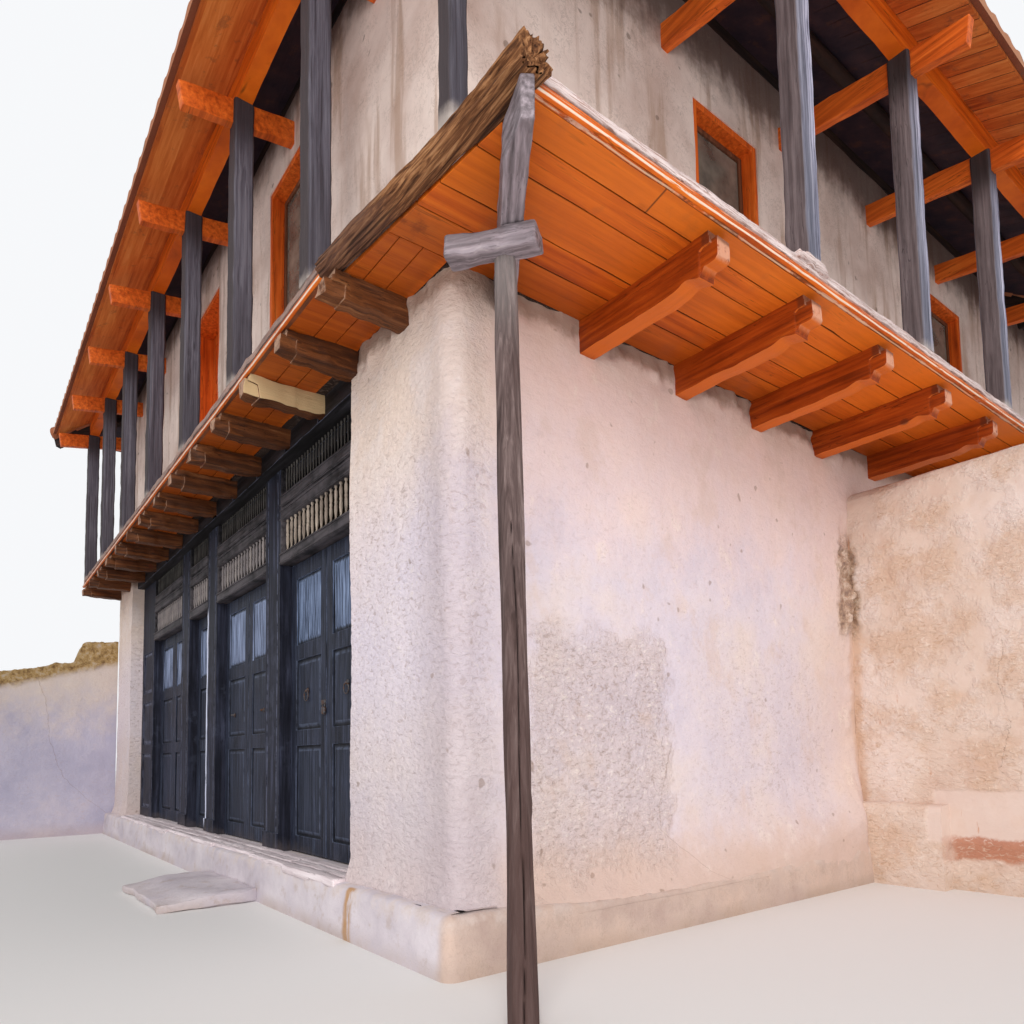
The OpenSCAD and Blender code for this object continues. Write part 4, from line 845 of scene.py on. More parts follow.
def panel_wear_and_sheen(f):
    """Pale blue streaks on the sunk panels, strongest on the upper ones, fainter on the frame, partly wear and partly a
    painted reflection; painted shade in the sunk margins; and dust at the foot.
    """
    fibres = f.noise((75, 75, 2.2), shift=(4, 1, 7), detail=4, rough=0.65, warp=0.4)
    blots = f.noise(3.5, detail=5, rough=0.6)
    high = (f.z + blots * 0.3).rise(1.75, 2.0)
    panel = f.y.rise(0.2268, 0.23)
    # The upper panels' pale blue streaks are partly wear and partly a painted reflection of the sky.
    streaks_and_sheen = f.ramp(fibres, (0.36, (0.012, 0.016, 0.03)), (0.5, (0.1, 0.14, 0.235)), (0.64, (0.34, 0.44, 0.68)))
    f.coat(panel * (high * 0.85 + 0.03), streaks_and_sheen)
    # More painted reflection on the upper panels past the first bay.
    far = f.x.rise(-2.7, -2.9) * high * panel
    f.coat(far * fibres.rise(0.4, 0.6) * 0.45, (0.4, 0.46, 0.68))
    # Blue-grey on the leaf's frame, partly wear and partly painted sheen.
    worn = fibres.rise(0.52, 0.7) * blots.rise(0.36, 0.6) * (1 - panel)
    f.coat(worn * 0.5, (0.13, 0.165, 0.26))
    dark = fibres.rise(0.46, 0.34)
    f.coat(dark * 0.5, (0.007, 0.007, 0.012))
    # Painted shade: near black in the sunk margins round the panels.
    f.coat(f.y.rise(0.232, 0.238) * f.y.rise(0.245, 0.242) * 0.85, (0.004, 0.004, 0.006))
    dust = (f.z + blots * 0.3).rise(0.5, 0.36)
    f.coat(dust * 0.35, (0.15, 0.125, 0.12))
    f.height = f.height + worn * 0.4 - dark * 0.4


leaf_tones = ((0.006, 0.007, 0.012), (0.015, 0.018, 0.031), (0.032, 0.038, 0.064), (0.07, 0.085, 0.14))
# Its arrises take a blue-grey, partly wear and partly painted highlight.
leaf_wood = timber("leaf_wood", "z", leaf_tones, across=42, along=2.2, gloss=0.5, relief=0.003, extra=panel_wear_and_sheen,
                   shine=0.15, wear=0.45, worn=(0.12, 0.145, 0.22))
leaves = ("door_1_right", "door_1_left", "door_2_right", "door_2_left", "door_3", "door_4_right", "door_4_left")
for leaf in leaves:
    hewn(leaf, leaf_wood, body=leaf + "_leaf", cuts=((2, 0.15),), edge=0.004, shake=0.0012, size=0.1)


def old_iron():
    """Dull iron with patches of rust."""
    f = Finish("old_iron", Metallic=0.85)
    rust = f.noise(60, detail=6, rough=0.7)
    f.colour = f.mix(rust.rise(0.45, 0.62), (0.1, 0.1, 0.11), (0.16, 0.07, 0.035))
    return f.surface_of(rust * 0.5 + 0.3, rust, 0.001)


def hoop(x, y, z, radius, thick, sides=20):
    """A ring hanging flat against a door: a round section carried round a circle."""
    turn, section = circle(sides), circle(8)
    out = radius + thick * np.cos(section)
    grid = np.zeros((sides, 8, 3))
    grid[..., 0] = x + out * np.sin(turn)[:, None]
    grid[..., 1] = y + thick * np.sin(section)
    grid[..., 2] = z + out * np.cos(turn)[:, None]
    return grid


def fitting(name, grids, hoops, body):
    """Iron of one leaf in one piece: solid forms and hoops."""
    iron = joined(name, placed(grids), bpy.data.materials["old_iron"], body=body, sharp=50, loops=placed(hoops))


def boss(x, z, radius, out):
    """A domed plate on a leaf's face, turned about the line that points at the viewer."""
    dome = np.array(((radius, 0.0), (radius, 0.004), (radius * 0.62, 0.008), (radius * 0.5, out * 0.6),
                     (radius * 0.3, out)))
    angle = circle(12)
    grid = np.zeros((len(dome), 12, 3))
    grid[..., 0] = x + dome[:, :1] * np.cos(angle)
    grid[..., 1] = 0.227 - dome[:, 1:]
    grid[..., 2] = z + dome[:, :1] * np.sin(angle)
    return grid


old_iron()
for side, x in (("right", -1.58), ("left", -2.24)):
    fitting("ring_pull_" + side, [boss(x, 1.42, 0.022, 0.02)], [hoop(x, 0.214, 1.385, 0.036, 0.0045)],
            "door_1_" + side + "_leaf")
lock = [soft_box((-1.952, 0.2, 1.235), (-1.902, 0.222, 1.285), 0.03, 0.006),
        soft_box((-1.99, 0.217, 1.3), (-1.918, 0.226, 1.335), 0.03, 0.003)]
fitting("hasp_and_padlock", lock, [hoop(-1.927, 0.211, 1.292, 0.017, 0.004)], "door_1_left_leaf")
for side, x in (("left", -3.91), ("right", -3.15)):
    fitting("knob_" + side, [boss(x, 1.335, 0.02, 0.034)], [], "door_2_" + side + "_leaf")

# Gallery joists. Hewn hardwood, oiled red-orange, let into the walls; each end is cut back to a
# slimmer nose under a small brow. The front ones are shorter, rougher and split at their ends, and
# their darker tones are partly painted shade of the front gallery; the right ones' undersides are
# painted lighter as light thrown up from the ground.

orange_tones = ((0.26, 0.035, 0.002), (0.55, 0.09, 0.004), (0.74, 0.15, 0.008), (0.86, 0.23, 0.02))
brown_tones = ((0.11, 0.014, 0.001), (0.25, 0.034, 0.002), (0.38, 0.06, 0.004), (0.52, 0.11, 0.01))
# Darker, browner tones for the front joists: partly their own weathering, partly painted shade of the front gallery.
shaded_front_tones = ((0.02, 0.008, 0.005), (0.075, 0.024, 0.008), (0.17, 0.055, 0.016), (0.32, 0.14, 0.055))


def joist_ends(f):
    """Undersides painted lighter as light thrown up from the ground, a pale dry end grain with checks, and knots."""
    nx, ny, nz = f.normal()
    # Painted light: the right joists' undersides lighter, as lit from the ground below.
    f.coat(nz.rise(-0.5, -0.9) * f.x.rise(-0.05, 0.05) * 0.75, (0.78, 0.17, 0.014))
    blots = f.noise(18, detail=5, rough=0.65)
    out = nx.rise(0.3, 0.9) * f.x.rise(0.8, 0.82)
    f.coat(out * blots.rise(0.3, 0.5) * 0.8, (0.76, 0.38, 0.24))
    broken = f.x.rise(0.8, 0.82) * (f.z + blots * 0.05).rise(3.215, 3.235) * f.y.rise(0.0, 0.1)
    f.coat(broken * 0.7, (0.1, 0.025, 0.01))
    board = f.x.within(-1.7, -1.45, 0.01) * nx.rise(0.5, 0.8) * (f.z + blots * 0.06).rise(3.13, 3.15)
    f.coat(board * 0.85, (0.66, 0.48, 0.26))
    front_out = ny.rise(-0.75, -0.95) * f.y.rise(-0.3, -0.38)
    f.coat(front_out * blots.rise(0.35, 0.6) * 0.8, (0.5, 0.3, 0.2))
    knots = f.cells(2.6, vector=f.stretched((1, 1, 1), (1, 5, 2))).rise(0.1, 0.04)
    f.coat(knots * 0.8, (0.12, 0.025, 0.008))


joist_wood = timber("joist_wood", "x", brown_tones, across=34, along=1.5, gloss=0.5, relief=0.004, extra=joist_ends)
front_joist_wood = timber("front_joist_wood", "y", shaded_front_tones, across=34, along=1.5, gloss=0.6, relief=0.008,
                          extra=joist_ends)


def carved_nose(points):
    """Scoops the joist's underside before its lip and sets the nose back up in a step behind the lip."""
    low = np.clip((3.235 - points[:, 2]) / 0.16, 0, 1)
    points[:, 2] += low * (0.034 * smooth(points[:, 0], 0.792, 0.806) + 0.016 * smooth(points[:, 0], 0.86, 0.885) ** 2)
    points[:, 2] += 0.02 * low * np.exp(-((points[:, 0] - 0.715) / 0.045) ** 2)
    return points


hewn("right_joists", joist_wood, cuts=((0, 0.02), (2, 0.03)), edge=0.007, shake=0.004, size=0.14,
     shape=carved_nose)


def let_in(points):
    """Raises the joists' underside a little where the beam over the doors takes them in."""
    points[:, 2] += 0.02 * smooth(points[:, 1], 0.0, 0.06) * (points[:, 2] < 3.15)
    return points


hewn("front_joists", front_joist_wood, cuts=((1, 0.03), (2, 0.03)), edge=0.009, shake=0.012, size=0.1,
     shape=let_in)

# Gallery boards. Wide sawn boards laid along the galleries over the joists, oiled bright orange
# underneath. The gaps between them are dark, and each board has its own tone; shade is painted on
# them close to the wall and under the front gallery.


def board_tones(f):
    """Each board's own tone, dark seams, knots and dirt, with painted shade close to the wall and under the front
    gallery.
    """
    seams = (0.216, 0.374, 0.606, 0.751)
    index = sum((f.x.rise(seam - 0.001, seam + 0.001) for seam in seams), f.x.rise(0.0, 0.01) * 0.37)
    tone = (index * 0.617 + 0.2) % 1.0
    f.coat(tone * 0.5, (0.92, 0.26, 0.022))
    f.coat((index * 0.37) % 1.0 * 0.25, (0.45, 0.06, 0.004))
    knots = f.cells(1.7, vector=f.stretched((1, 0.6, 1), (3, 1, 1)))
    eyes = knots.rise(0.06, 0.02) + f.line(knots, 0.075, 0.02) * 0.4
    f.coat(eyes * 0.8, (0.2, 0.035, 0.01))
    dirt = f.noise(3, detail=6, rough=0.65).rise(0.54, 0.7)
    f.coat(dirt * 0.3, (0.34, 0.1, 0.03))
    # Brighter orange further from the wall and further along the gallery.
    f.coat(f.y.rise(0.8, 4.0) * f.x.rise(0.1, 0.4) * 0.55, (0.95, 0.22, 0.018))
    # Painted shade: the boards darker close to the wall.
    wall_shade = f.x.rise(0.42, 0.02) * f.y.rise(-0.1, 0.1)
    f.coat(wall_shade * 0.55, (0.27, 0.04, 0.004))
    # Painted shade under the front gallery, patchy with dirt.
    front = f.y.rise(0.0, -0.05) * f.x.rise(0.3, 0.1)
    f.coat(front * dirt.most(0.6) * 0.85, (0.2, 0.04, 0.008))
    gaps = sum((f.line(f.x, seam, 0.006) for seam in seams), 0.0) * (1 - front)
    gaps = gaps + f.line(f.y + f.x * 0.2, 0.673, 0.008) * f.x.rise(0.745, 0.755)
    f.coat(gaps.least(1.0) * 0.8, (0.04, 0.01, 0.004))


board_wood = timber("board_wood", "y", orange_tones, across=26, along=1.1, gloss=0.5, relief=0.003, extra=board_tones)
hewn("gallery_boards", board_wood, cuts=((1, 0.14), (0, 0.35)), edge=0.003, shake=0.0025, size=0.2)

# Gallery edge. A strip of orange fascia, a half-round batten in worn pale paint under the
# planks' overhang, and pinkish grey planks above, cracked and worn thin along their outer edge.


def split_edge(f):
    """Long dark splits and pale dry strips along the edge; the front one is dark brown."""
    layers = f.noise((2.5, 2.5, 120), shift=(1, 5, 2), detail=6, rough=0.7, warp=0.2)
    f.coat(layers.rise(0.52, 0.57) * 0.8, (0.16, 0.05, 0.02))
    f.coat(layers.rise(0.46, 0.4) * 0.7, (0.8, 0.52, 0.38))
    rim = f.x.within(0.9, 0.908, 0.002) * f.noise((6, 3, 6), detail=5, rough=0.7).rise(0.36, 0.5)
    f.coat(rim * 0.8, (0.84, 0.62, 0.42))
    f.coat(f.line(f.x, 0.8945, 0.003) * f.y.rise(-0.2, 0.0) * 0.8, (0.05, 0.015, 0.006))
    front = f.y.rise(0.0, -0.1) * f.x.rise(0.5, 0.3)
    f.coat(front * 0.85, f.ramp(f.grain, (0.35, (0.03, 0.014, 0.01)), (0.6, (0.16, 0.06, 0.03))))


fascia_wood = timber("fascia_wood", "xy", orange_tones, across=40, along=2.0, gloss=0.5, relief=0.003, extra=split_edge)
hewn("gallery_fascia", fascia_wood, cuts=((1, 0.12), (0, 0.12)), edge=0.002, shake=0.003, size=0.12)


def worn_paint(f):
    """Cream paint left along the batten's lower and upper edge, orange wood showing between them, and painted shade
    along its top under the planks.
    """
    chips = f.noise((6, 6, 90), detail=6, rough=0.7)
    # Painted shade: the batten's top, under the planks' overhang, near black.
    f.coat(f.z.rise(3.284, 3.289), (0.05, 0.02, 0.012))
    paint = (f.z + chips * 0.004).within(3.268, 3.2755, 0.0015) * chips.rise(0.36, 0.44)
    f.coat(paint, (0.86, 0.68, 0.54))
    f.height += paint * 0.2


batten_wood = timber("batten_wood", "xy", orange_tones, across=30, along=1.6, gloss=0.6, relief=0.003, extra=worn_paint)
hewn("edge_battens", batten_wood, cuts=((1, 0.06), (0, 0.06)), edge=0, shake=0.0025, size=0.2,
     smooth_to=50)
plank_tones = ((0.24, 0.17, 0.16), (0.6, 0.48, 0.46), (0.82, 0.68, 0.66), (0.95, 0.84, 0.82))


def worn_planks(f):
    """Pinkish weathered planks on the right, dark brown ragged ones in front."""
    front = f.y.rise(-0.0, -0.1) * f.x.rise(0.3, 0.1)
    blots = f.noise(6, detail=5, rough=0.65)
    layers = f.noise((7, 7, 150), shift=(1, 5, 2), detail=6, rough=0.7, warp=0.3)
    f.coat(layers.rise(0.53, 0.57) * 0.75, (0.36, 0.19, 0.14))
    f.coat(layers.rise(0.44, 0.36) * 0.6, (0.93, 0.8, 0.76))
    f.coat(front * 0.75, f.ramp(blots, (0.35, (0.1, 0.045, 0.03)), (0.6, (0.28, 0.15, 0.1))))
    f.height += layers * 0.8


plank_wood = timber("plank_wood", "xy", plank_tones, across=30, along=1.6, gloss=0.7, relief=0.005, extra=worn_planks)
hewn("gallery_floor", plank_wood, cuts=((1, 0.04), (0, 0.04)), edge=0.004, shake=0.006, size=0.1)
chips = [soft_box((0.8, 1.53, 3.35), (0.925, 1.715, 3.42), 0.02, 0.01),
         soft_box((0.85, 1.44, 3.36), (0.93, 1.6, 3.4), 0.02, 0.006)]
chips = joined("broken_plank_end", placed([shaken(g, 0.05, 0.008, 130) for g in chips]), plank_wood)

# Corner joist and bolster. A plain grey joist runs out on the diagonal under the gallery's
# corner, and a short beam lies across the pole's head to carry it. Both are bare, dry wood.

silver_tones = ((0.07, 0.055, 0.06), (0.2, 0.165, 0.18), (0.36, 0.3, 0.33), (0.56, 0.48, 0.5))
bare_wood = timber("bare_wood", "x", silver_tones, across=42, along=2.2, gloss=0.7, relief=0.008, turn=-34)
bare_wood_across = timber("bare_wood_across", "x", silver_tones, across=42, along=2.2, gloss=0.7, relief=0.008, turn=38)
hewn("corner_joist", bare_wood, cuts=((0, 0.04), (1, 0.04)), edge=0.008, shake=0.005, size=0.1)
hewn("corner_bolster", bare_wood_across, cuts=((1, 0.03), (0, 0.03)), edge=0.012, shake=0.009, size=0.08)

# Prop pole. A thin tree trunk, peeled and grey, slightly crooked, with a long drying check down
# the side that faces the path. It stands on the ground and leans in to the bolster.


trunk_sides = 72


def round_noise(reach, along, angle, size, octaves, seed):
    """Noise on a trunk's side: the angle runs round a circle of that reach, so the pattern meets itself."""
    where = np.broadcast_arrays(reach * np.cos(angle)[None], reach * np.sin(angle)[None], along[:, None])
    return rough(np.stack(where, -1), size, octaves, seed)


def carried(line, radius, sides, side=(1, 0, 0)):
    """A round section carried along a line of points: rows along the line, columns round it."""
    run = np.gradient(line, axis=0)
    run /= np.linalg.norm(run, axis=1)[:, None]
    across = np.array(side) - run * (run @ np.array(side))[:, None]
    across /= np.linalg.norm(across, axis=1)[:, None]
    other = np.cross(run, across)
    angle = circle(sides)
    spread = np.cos(angle)[None, :, None] * across[:, None] + np.sin(angle)[None, :, None] * other[:, None]
    return line[:, None] + spread * radius[..., None]


def pole_wood():
    """Weathered grey trunk wood, darker towards the foot, with painted shade in its check."""
    f = Finish("pole_wood", Specular_IOR_Level=0.25)
    grain = f.noise((42, 42, 1.6), detail=7, rough=0.65, warp=0.6)
    fibre = f.noise((160, 160, 5), detail=4, rough=0.6)
    blots = f.noise(3.2, detail=6, rough=0.6)
    f.colour = f.ramp(grain, (0.3, (0.04, 0.025, 0.023)), (0.48, (0.1, 0.066, 0.062)), (0.62, (0.175, 0.125, 0.118)),
                      (0.75, (0.3, 0.23, 0.215)))
    f.coat((f.z + blots).rise(2.4, 1.1) * 0.72, (0.07, 0.037, 0.032))
    f.coat(f.z.rise(2.5, 3.0) * 0.4, (0.4, 0.36, 0.35))
    check = f.written("hollow")
    # Painted shade: near black inside the check and the knots' hollows, by their depth.
    f.coat(check.rise(0.4, 0.95), (0.02, 0.013, 0.012))
    return f.surface_of(0.82, grain * 0.7 + fibre * 0.35, 0.007)


def hollow_attribute(piece, value):
    """Writes how deep each point lies in a check or knot, for the material to paint the shade in it."""
    layer = piece.data.attributes.new("hollow", "FLOAT", "POINT")
    layer.data.foreach_set("value", np.asarray(value, np.float32).ravel())


def prop():
    """The pole: swollen, ridged and slightly bowed, with a check down its face and four knots."""
    foot, head = np.array((0.693, -0.1755, 0.0)), np.array((0.430, 0.0016, 3.012))
    part = np.linspace(0, 1, 301)
    line = foot + (head - foot) * part[:, None]
    bow = 0.012 * np.sin(part * math.pi) + 0.008 * np.sin(part * 7.0 + 1) * np.sin(part * math.pi)
    line[:, 0] += bow
    line[:, 1] -= 0.6 * bow
    angle = circle(trunk_sides)
    swell = 1 + 0.05 * np.sin(part * 9 + 2) + 0.03 * np.sin(part * 23)
    radius = (0.052 - 0.005 * part)[:, None] * swell[:, None] * np.ones(trunk_sides)
    radius += 0.0035 * round_noise(2.2, part * 2.6, angle, 0.5, 3, 60)
    facing = math.radians(-38) + 0.25 * np.sin(part * 5) + 0.1 * np.sin(part * 17)
    gap = np.abs(swing(angle[None] - facing[:, None]))
    width = 0.055 * smooth(part, 0.66, 0.55) * (1 - 0.3 * np.sin(part * 12)) + 1e-6
    check = np.exp(-(gap / width[:, None]) ** 2) * (width[:, None] > 0.01)
    knots = np.zeros_like(radius)
    for at, turn in ((0.48, -0.35), (0.71, -1.0), (0.25, 1.2), (0.86, 2.6)):
        away = np.hypot((part[:, None] - at) * 3.0 / 0.03, swing(angle[None] - turn) / 0.45)
        knots += np.exp(-away ** 2) - 0.9 * np.exp(-(away / 0.4) ** 2)
    radius = radius - 0.012 * check + 0.007 * knots
    grid = carried(line, radius, trunk_sides)
    grid[0, :, 2], grid[-1, :, 2] = foot[2], head[2]
    grid[..., 2] = np.clip(grid[..., 2], foot[2], head[2])
    piece = joined("prop_pole_trunk", placed([grid]), pole_wood(), sharp=70, weld=1e-6)
    hollow_attribute(piece, check + np.maximum(-knots, 0) * 0.8)
    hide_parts("prop_pole")


prop()

# Corner log. A short length of rough trunk along the front gallery's edge, hewn flat below,
# deeply furrowed, its end towards the path frayed and swollen; the corner post stands on it.


def log_finish():
    """Deeply furrowed brown wood, darker at the near end, with the furrows painted black as the shade in them."""
    f = Finish("log_wood", Specular_IOR_Level=0.2)
    turn = math.radians(5)
    along = f.x * math.cos(turn) + f.y * math.sin(turn)
    fibre = f.noise((4, 60, 60), detail=7, rough=0.65, warp=0.8)
    blots = f.noise(9, detail=5, rough=0.65)
    f.colour = f.ramp(fibre, (0.34, (0.045, 0.017, 0.008)), (0.47, (0.17, 0.068, 0.028)), (0.58, (0.36, 0.165, 0.07)),
                      (0.74, (0.56, 0.31, 0.15)))
    f.coat(along.rise(0.2, -0.1) * 0.6, (0.12, 0.06, 0.045))
    check = f.written("hollow")
    # Painted shade: the furrows darkened by their depth.
    f.coat(check.rise(0.3, 0.9) * 0.8, (0.03, 0.015, 0.01))
    return f.surface_of(0.88, fibre * 0.8 + blots * 0.3, 0.01)


def corner_log():
    """The log: a furrowed trunk, hewn flat below, with a frayed and hollowed end."""
    turn = math.radians(5)
    run = np.array((math.cos(turn), math.sin(turn), 0.0))
    place = stops(-1.02, 0.3, 0.45, step=0.012)
    line = np.array((0.54, -0.319, 3.31)) + place[:, None] * run
    angle = circle(trunk_sides)
    part = smooth(place, -0.1, 0.45)
    base = 0.053 + 0.02 * part
    furrows = round_noise(3.0, place * 1.6, angle, 0.55, 4, 80)
    radius = base[:, None] + 0.014 * furrows * (0.6 + 0.7 * part[:, None])
    grid = carried(line, radius, trunk_sides, side=(0, 1, 0))
    frayed = smooth(place, 0.34, 0.45)[:, None] * 0.016 * round_noise(2.5, 0 * place, angle, 0.4, 3, 90)
    grid += frayed[..., None] * run
    inner = grid[-1:].mean(axis=1, keepdims=True)
    rings = [grid]
    for share, sink in ((0.82, 0.004), (0.6, 0.012), (0.35, 0.02), (0.12, 0.022)):
        cap = inner + (grid[-1:] - inner) * share - run * sink
        rings.append(cap + 0.008 * rough(cap, 0.03, 2, 95)[..., None] * run)
    grid = np.concatenate(rings)
    grid[..., 2] = np.maximum(grid[..., 2], 3.262)
    piece = joined("corner_log_trunk", placed([grid]), log_finish(), sharp=80, weld=1e-6)
    hollow_attribute(piece, np.concatenate((np.clip(-furrows * 1.6, 0, 1), np.zeros((4, trunk_sides)))))
    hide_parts("corner_log")


corner_log()

# Gallery posts. Square posts with chamfered edges, grey with age: the faces to the front are
# brown-grey, those to the side blue-grey and painted lighter as the light that falls on them, and their
# feet are pale and worn. Shade is painted on their tops under the roof and on the front gallery's posts.


def post_faces(f):
    """Brown-grey on the faces that look to the front; on the others blue-grey streaks, painted lighter as the light
    falling on those sides; painted shade at the tops under the roof and on the front gallery's posts; pale at the foot.
    """
    nx = f.normal()[0].size()
    streaks = f.noise((60, 60, 1.3), shift=(2, 2, 2), detail=6, rough=0.65, warp=0.3)
    # Painted light: the faces to the sides lighter and bluer, as the light that falls on them.
    side = f.ramp(streaks, (0.36, (0.05, 0.05, 0.075)), (0.46, (0.24, 0.235, 0.32)), (0.58, (0.46, 0.45, 0.57)),
                  (0.7, (0.72, 0.7, 0.82)))
    # Part of each side face, in bands that repeat from post to post, is mixed darker, and the sides are darker lower
    # down.
    across = (f.y - 0.9785) % 1.283 - 0.6415
    side = f.mix(across.rise(0.03, -0.03) * 0.6, side, (0.09, 0.09, 0.115))
    side = f.mix(f.z.rise(4.2, 3.7) * 0.45, side, (0.075, 0.08, 0.11))
    # Painted shade: the posts' tops near black under the roof.
    side = f.mix(f.z.rise(4.9, 5.2) * 0.8, side, (0.03, 0.026, 0.028))
    f.coat(f.z.rise(4.9, 5.2) * 0.8, (0.02, 0.015, 0.015))
    f.coat(nx.rise(0.55, 0.8), side)
    # Painted shade: the front gallery's posts darker.
    f.coat(f.y.rise(-0.2, -0.27) * 0.8, (0.035, 0.026, 0.03))
    blots = f.noise(9, detail=5, rough=0.65)
    foot = (f.z + blots * 0.12).rise(3.5, 3.4)
    f.coat(foot * 0.7, (0.55, 0.47, 0.42))
    f.height += streaks * 0.4


post_tones = ((0.045, 0.032, 0.034), (0.1, 0.075, 0.078), (0.16, 0.125, 0.13), (0.26, 0.21, 0.21))
post_wood = timber("post_wood", "z", post_tones, across=40, along=1.6, gloss=0.65, relief=0.005, extra=post_faces)
hewn("right_gallery_posts", post_wood, cuts=((2, 0.06),), edge=0.004, shake=0.004, size=0.12)
hewn("front_gallery_posts", post_wood, cuts=((2, 0.06),), edge=0.004, shake=0.004, size=0.12)

# Ties and purlins. Orange-brown beams: a tie runs from the wall out through each post's head
# and falls outwards, and a purlin lies along the posts' tops and carries the boards' lower end.

tie_tones = ((0.26, 0.04, 0.006), (0.58, 0.1, 0.012), (0.78, 0.16, 0.02), (0.88, 0.26, 0.04))
tie_wood = timber("tie_wood", "x", tie_tones, across=32, along=1.3, gloss=0.5, relief=0.004)
purlin_wood = timber("purlin_wood", "xy", orange_tones, across=32, along=1.3, gloss=0.5, relief=0.004)
hewn("tie_beams", tie_wood, cuts=((0, 0.07), (1, 0.07)), edge=0.006, shake=0.004, size=0.15)
hewn("edge_purlins", purlin_wood, cuts=((0, 0.1), (1, 0.1)), edge=0.006, shake=0.004, size=0.15)

# Windows and the upper door. Orange-brown linings in the thickness of the wall, with a pair of
# darker casement sashes and small dusty panes; the door to the front gallery is of plain boards.

lining_tones = ((0.28, 0.035, 0.003), (0.6, 0.09, 0.008), (0.8, 0.15, 0.016), (0.88, 0.24, 0.04))
lining_wood = timber("lining_wood", "z", lining_tones, across=34, along=1.6, gloss=0.55, relief=0.003)
sash_tones = ((0.05, 0.02, 0.012), (0.11, 0.04, 0.02), (0.18, 0.07, 0.035), (0.26, 0.11, 0.06))
sash_wood = timber("sash_wood", "z", sash_tones, across=40, along=2, gloss=0.5, relief=0.002)
hewn("window_frames", lining_wood, cuts=((2, 0.15),), edge=0.004, shake=0.002)
hewn("window_sashes", sash_wood, cuts=((2, 0.2),), edge=0.002, shake=0.001)
hewn("upper_door", lining_wood, cuts=((2, 0.2),), edge=0.003, shake=0.002)


def dress(material, *names):
    """Gives CAD nodes that stay as they are a material."""
    for name in names:
        mesh = nodes[name].data
        mesh.materials.clear()
        mesh.materials.append(material)


def dusty_glass():
    """Old panes that dust has made half blind."""
    f = Finish("dusty_glass", IOR=1.45, Alpha=0.8)
    dust = f.noise(6, detail=6)
    f.colour = f.ramp(dust + f.z.rise(4.3, 4.0) * 0.15, (0.3, (0.12, 0.1, 0.085)), (0.7, (0.34, 0.28, 0.23)))
    return f.surface_of(0.15, dust, 0.001)


dress(dusty_glass(), "window_glass")

# Upper floor. Round beams across the house that carry an earth slab, smoothed by hand.


def earth_floor():
    """Smoothed earth above and dark wood on the round beams below."""
    f = Finish("earth_floor", Specular_IOR_Level=0.2)
    clouds, grit = f.noise(2, detail=7, rough=0.6), f.noise(60, detail=5, rough=0.7)
    earth = f.ramp(clouds, (0.35, (0.24, 0.17, 0.12)), (0.6, (0.36, 0.27, 0.2)))
    beams = f.noise((30, 1.5, 30), detail=6, rough=0.6)
    wood = f.ramp(beams, (0.35, (0.06, 0.035, 0.025)), (0.6, (0.15, 0.09, 0.06)))
    f.colour = f.mix(f.z.rise(3.27, 3.25), earth, wood)
    return f.surface_of(0.9, clouds * 0.6 + grit * 0.3, 0.006)


dress(earth_floor(), "upper_floor")

# Roof timbers. Round poles on the wall plates and hip beams, blackened by smoke and painted darker
# still as the shade inside the roof; boards nailed across them, dark inside the gallery, partly smoke and
# partly painted shade, and clean orange where they run out over the purlin.


def roof_wood():
    """Boards across the slope: dark inside, partly smoke-blackened and partly painted shade, clean orange outside the
    purlin, with dark seams.
    """
    f = Finish("roof_wood", Specular_IOR_Level=0.3)
    blots = f.noise(5, detail=6, rough=0.65)
    grain = f.noise((2.2, 30, 8), detail=5, rough=0.6, warp=0.3)
    board = (f.y * (1 / 0.145)).whole()
    tone = (board * 0.617) % 1.0
    fresh = f.ramp(grain * 0.75 + tone * 0.25, (0.25, (0.3, 0.05, 0.008)), (0.45, (0.56, 0.13, 0.02)),
                   (0.65, (0.72, 0.22, 0.045)), (0.85, (0.82, 0.34, 0.1)))
    # Inside the purlin the boards are near black: partly smoke-blackening, partly painted shade.
    soot_and_shade = f.ramp(blots, (0.35, (0.024, 0.017, 0.03)), (0.6, (0.055, 0.03, 0.04)), (0.75, (0.13, 0.05, 0.034)))
    out = f.x.most(f.y * -1 + 0.42) + blots * 0.12
    ragged = f.noise(22, detail=5, rough=0.7)
    outside = (out + ragged * 0.1).rise(0.885, 0.91)
    seams = ((f.y % 0.145) - 0.0725).size().rise(0.068, 0.0725)
    seams = seams * f.x.rise(0.5, 0.6)
    f.colour = f.mix(outside, soot_and_shade, fresh)
    f.coat(seams * 0.85, (0.05, 0.015, 0.01))
    dirt = f.noise(9, detail=6, rough=0.7).rise(0.55, 0.68)
    f.coat(dirt * 0.4, (0.12, 0.05, 0.03))
    return f.surface_of(0.7, grain * 0.6 - seams * 1.4 + blots * 0.3, 0.006)


dress(roof_wood(), "roof_boards")
# The poles and frame inside the roof are near black: partly smoke-blackening, partly painted shade.
soot_and_shade_tones = ((0.008, 0.006, 0.006), (0.02, 0.012, 0.011), (0.045, 0.022, 0.016), (0.09, 0.04, 0.026))
dress(timber("soot_and_shade_wood", "xy", soot_and_shade_tones, across=30, along=2, gloss=0.8, relief=0.006), "roof_frame", "roof_poles")

# Roof covering. Half-round clay tiles in courses, hollow side up and down in turn, bedded on the
# boards; larger ones lap along the hips and the ridge.

tile_pitch, course = 0.2, 0.31
half_span = (eave_high[1] - eave_low[1]) / 2
tile_lift = 0.062


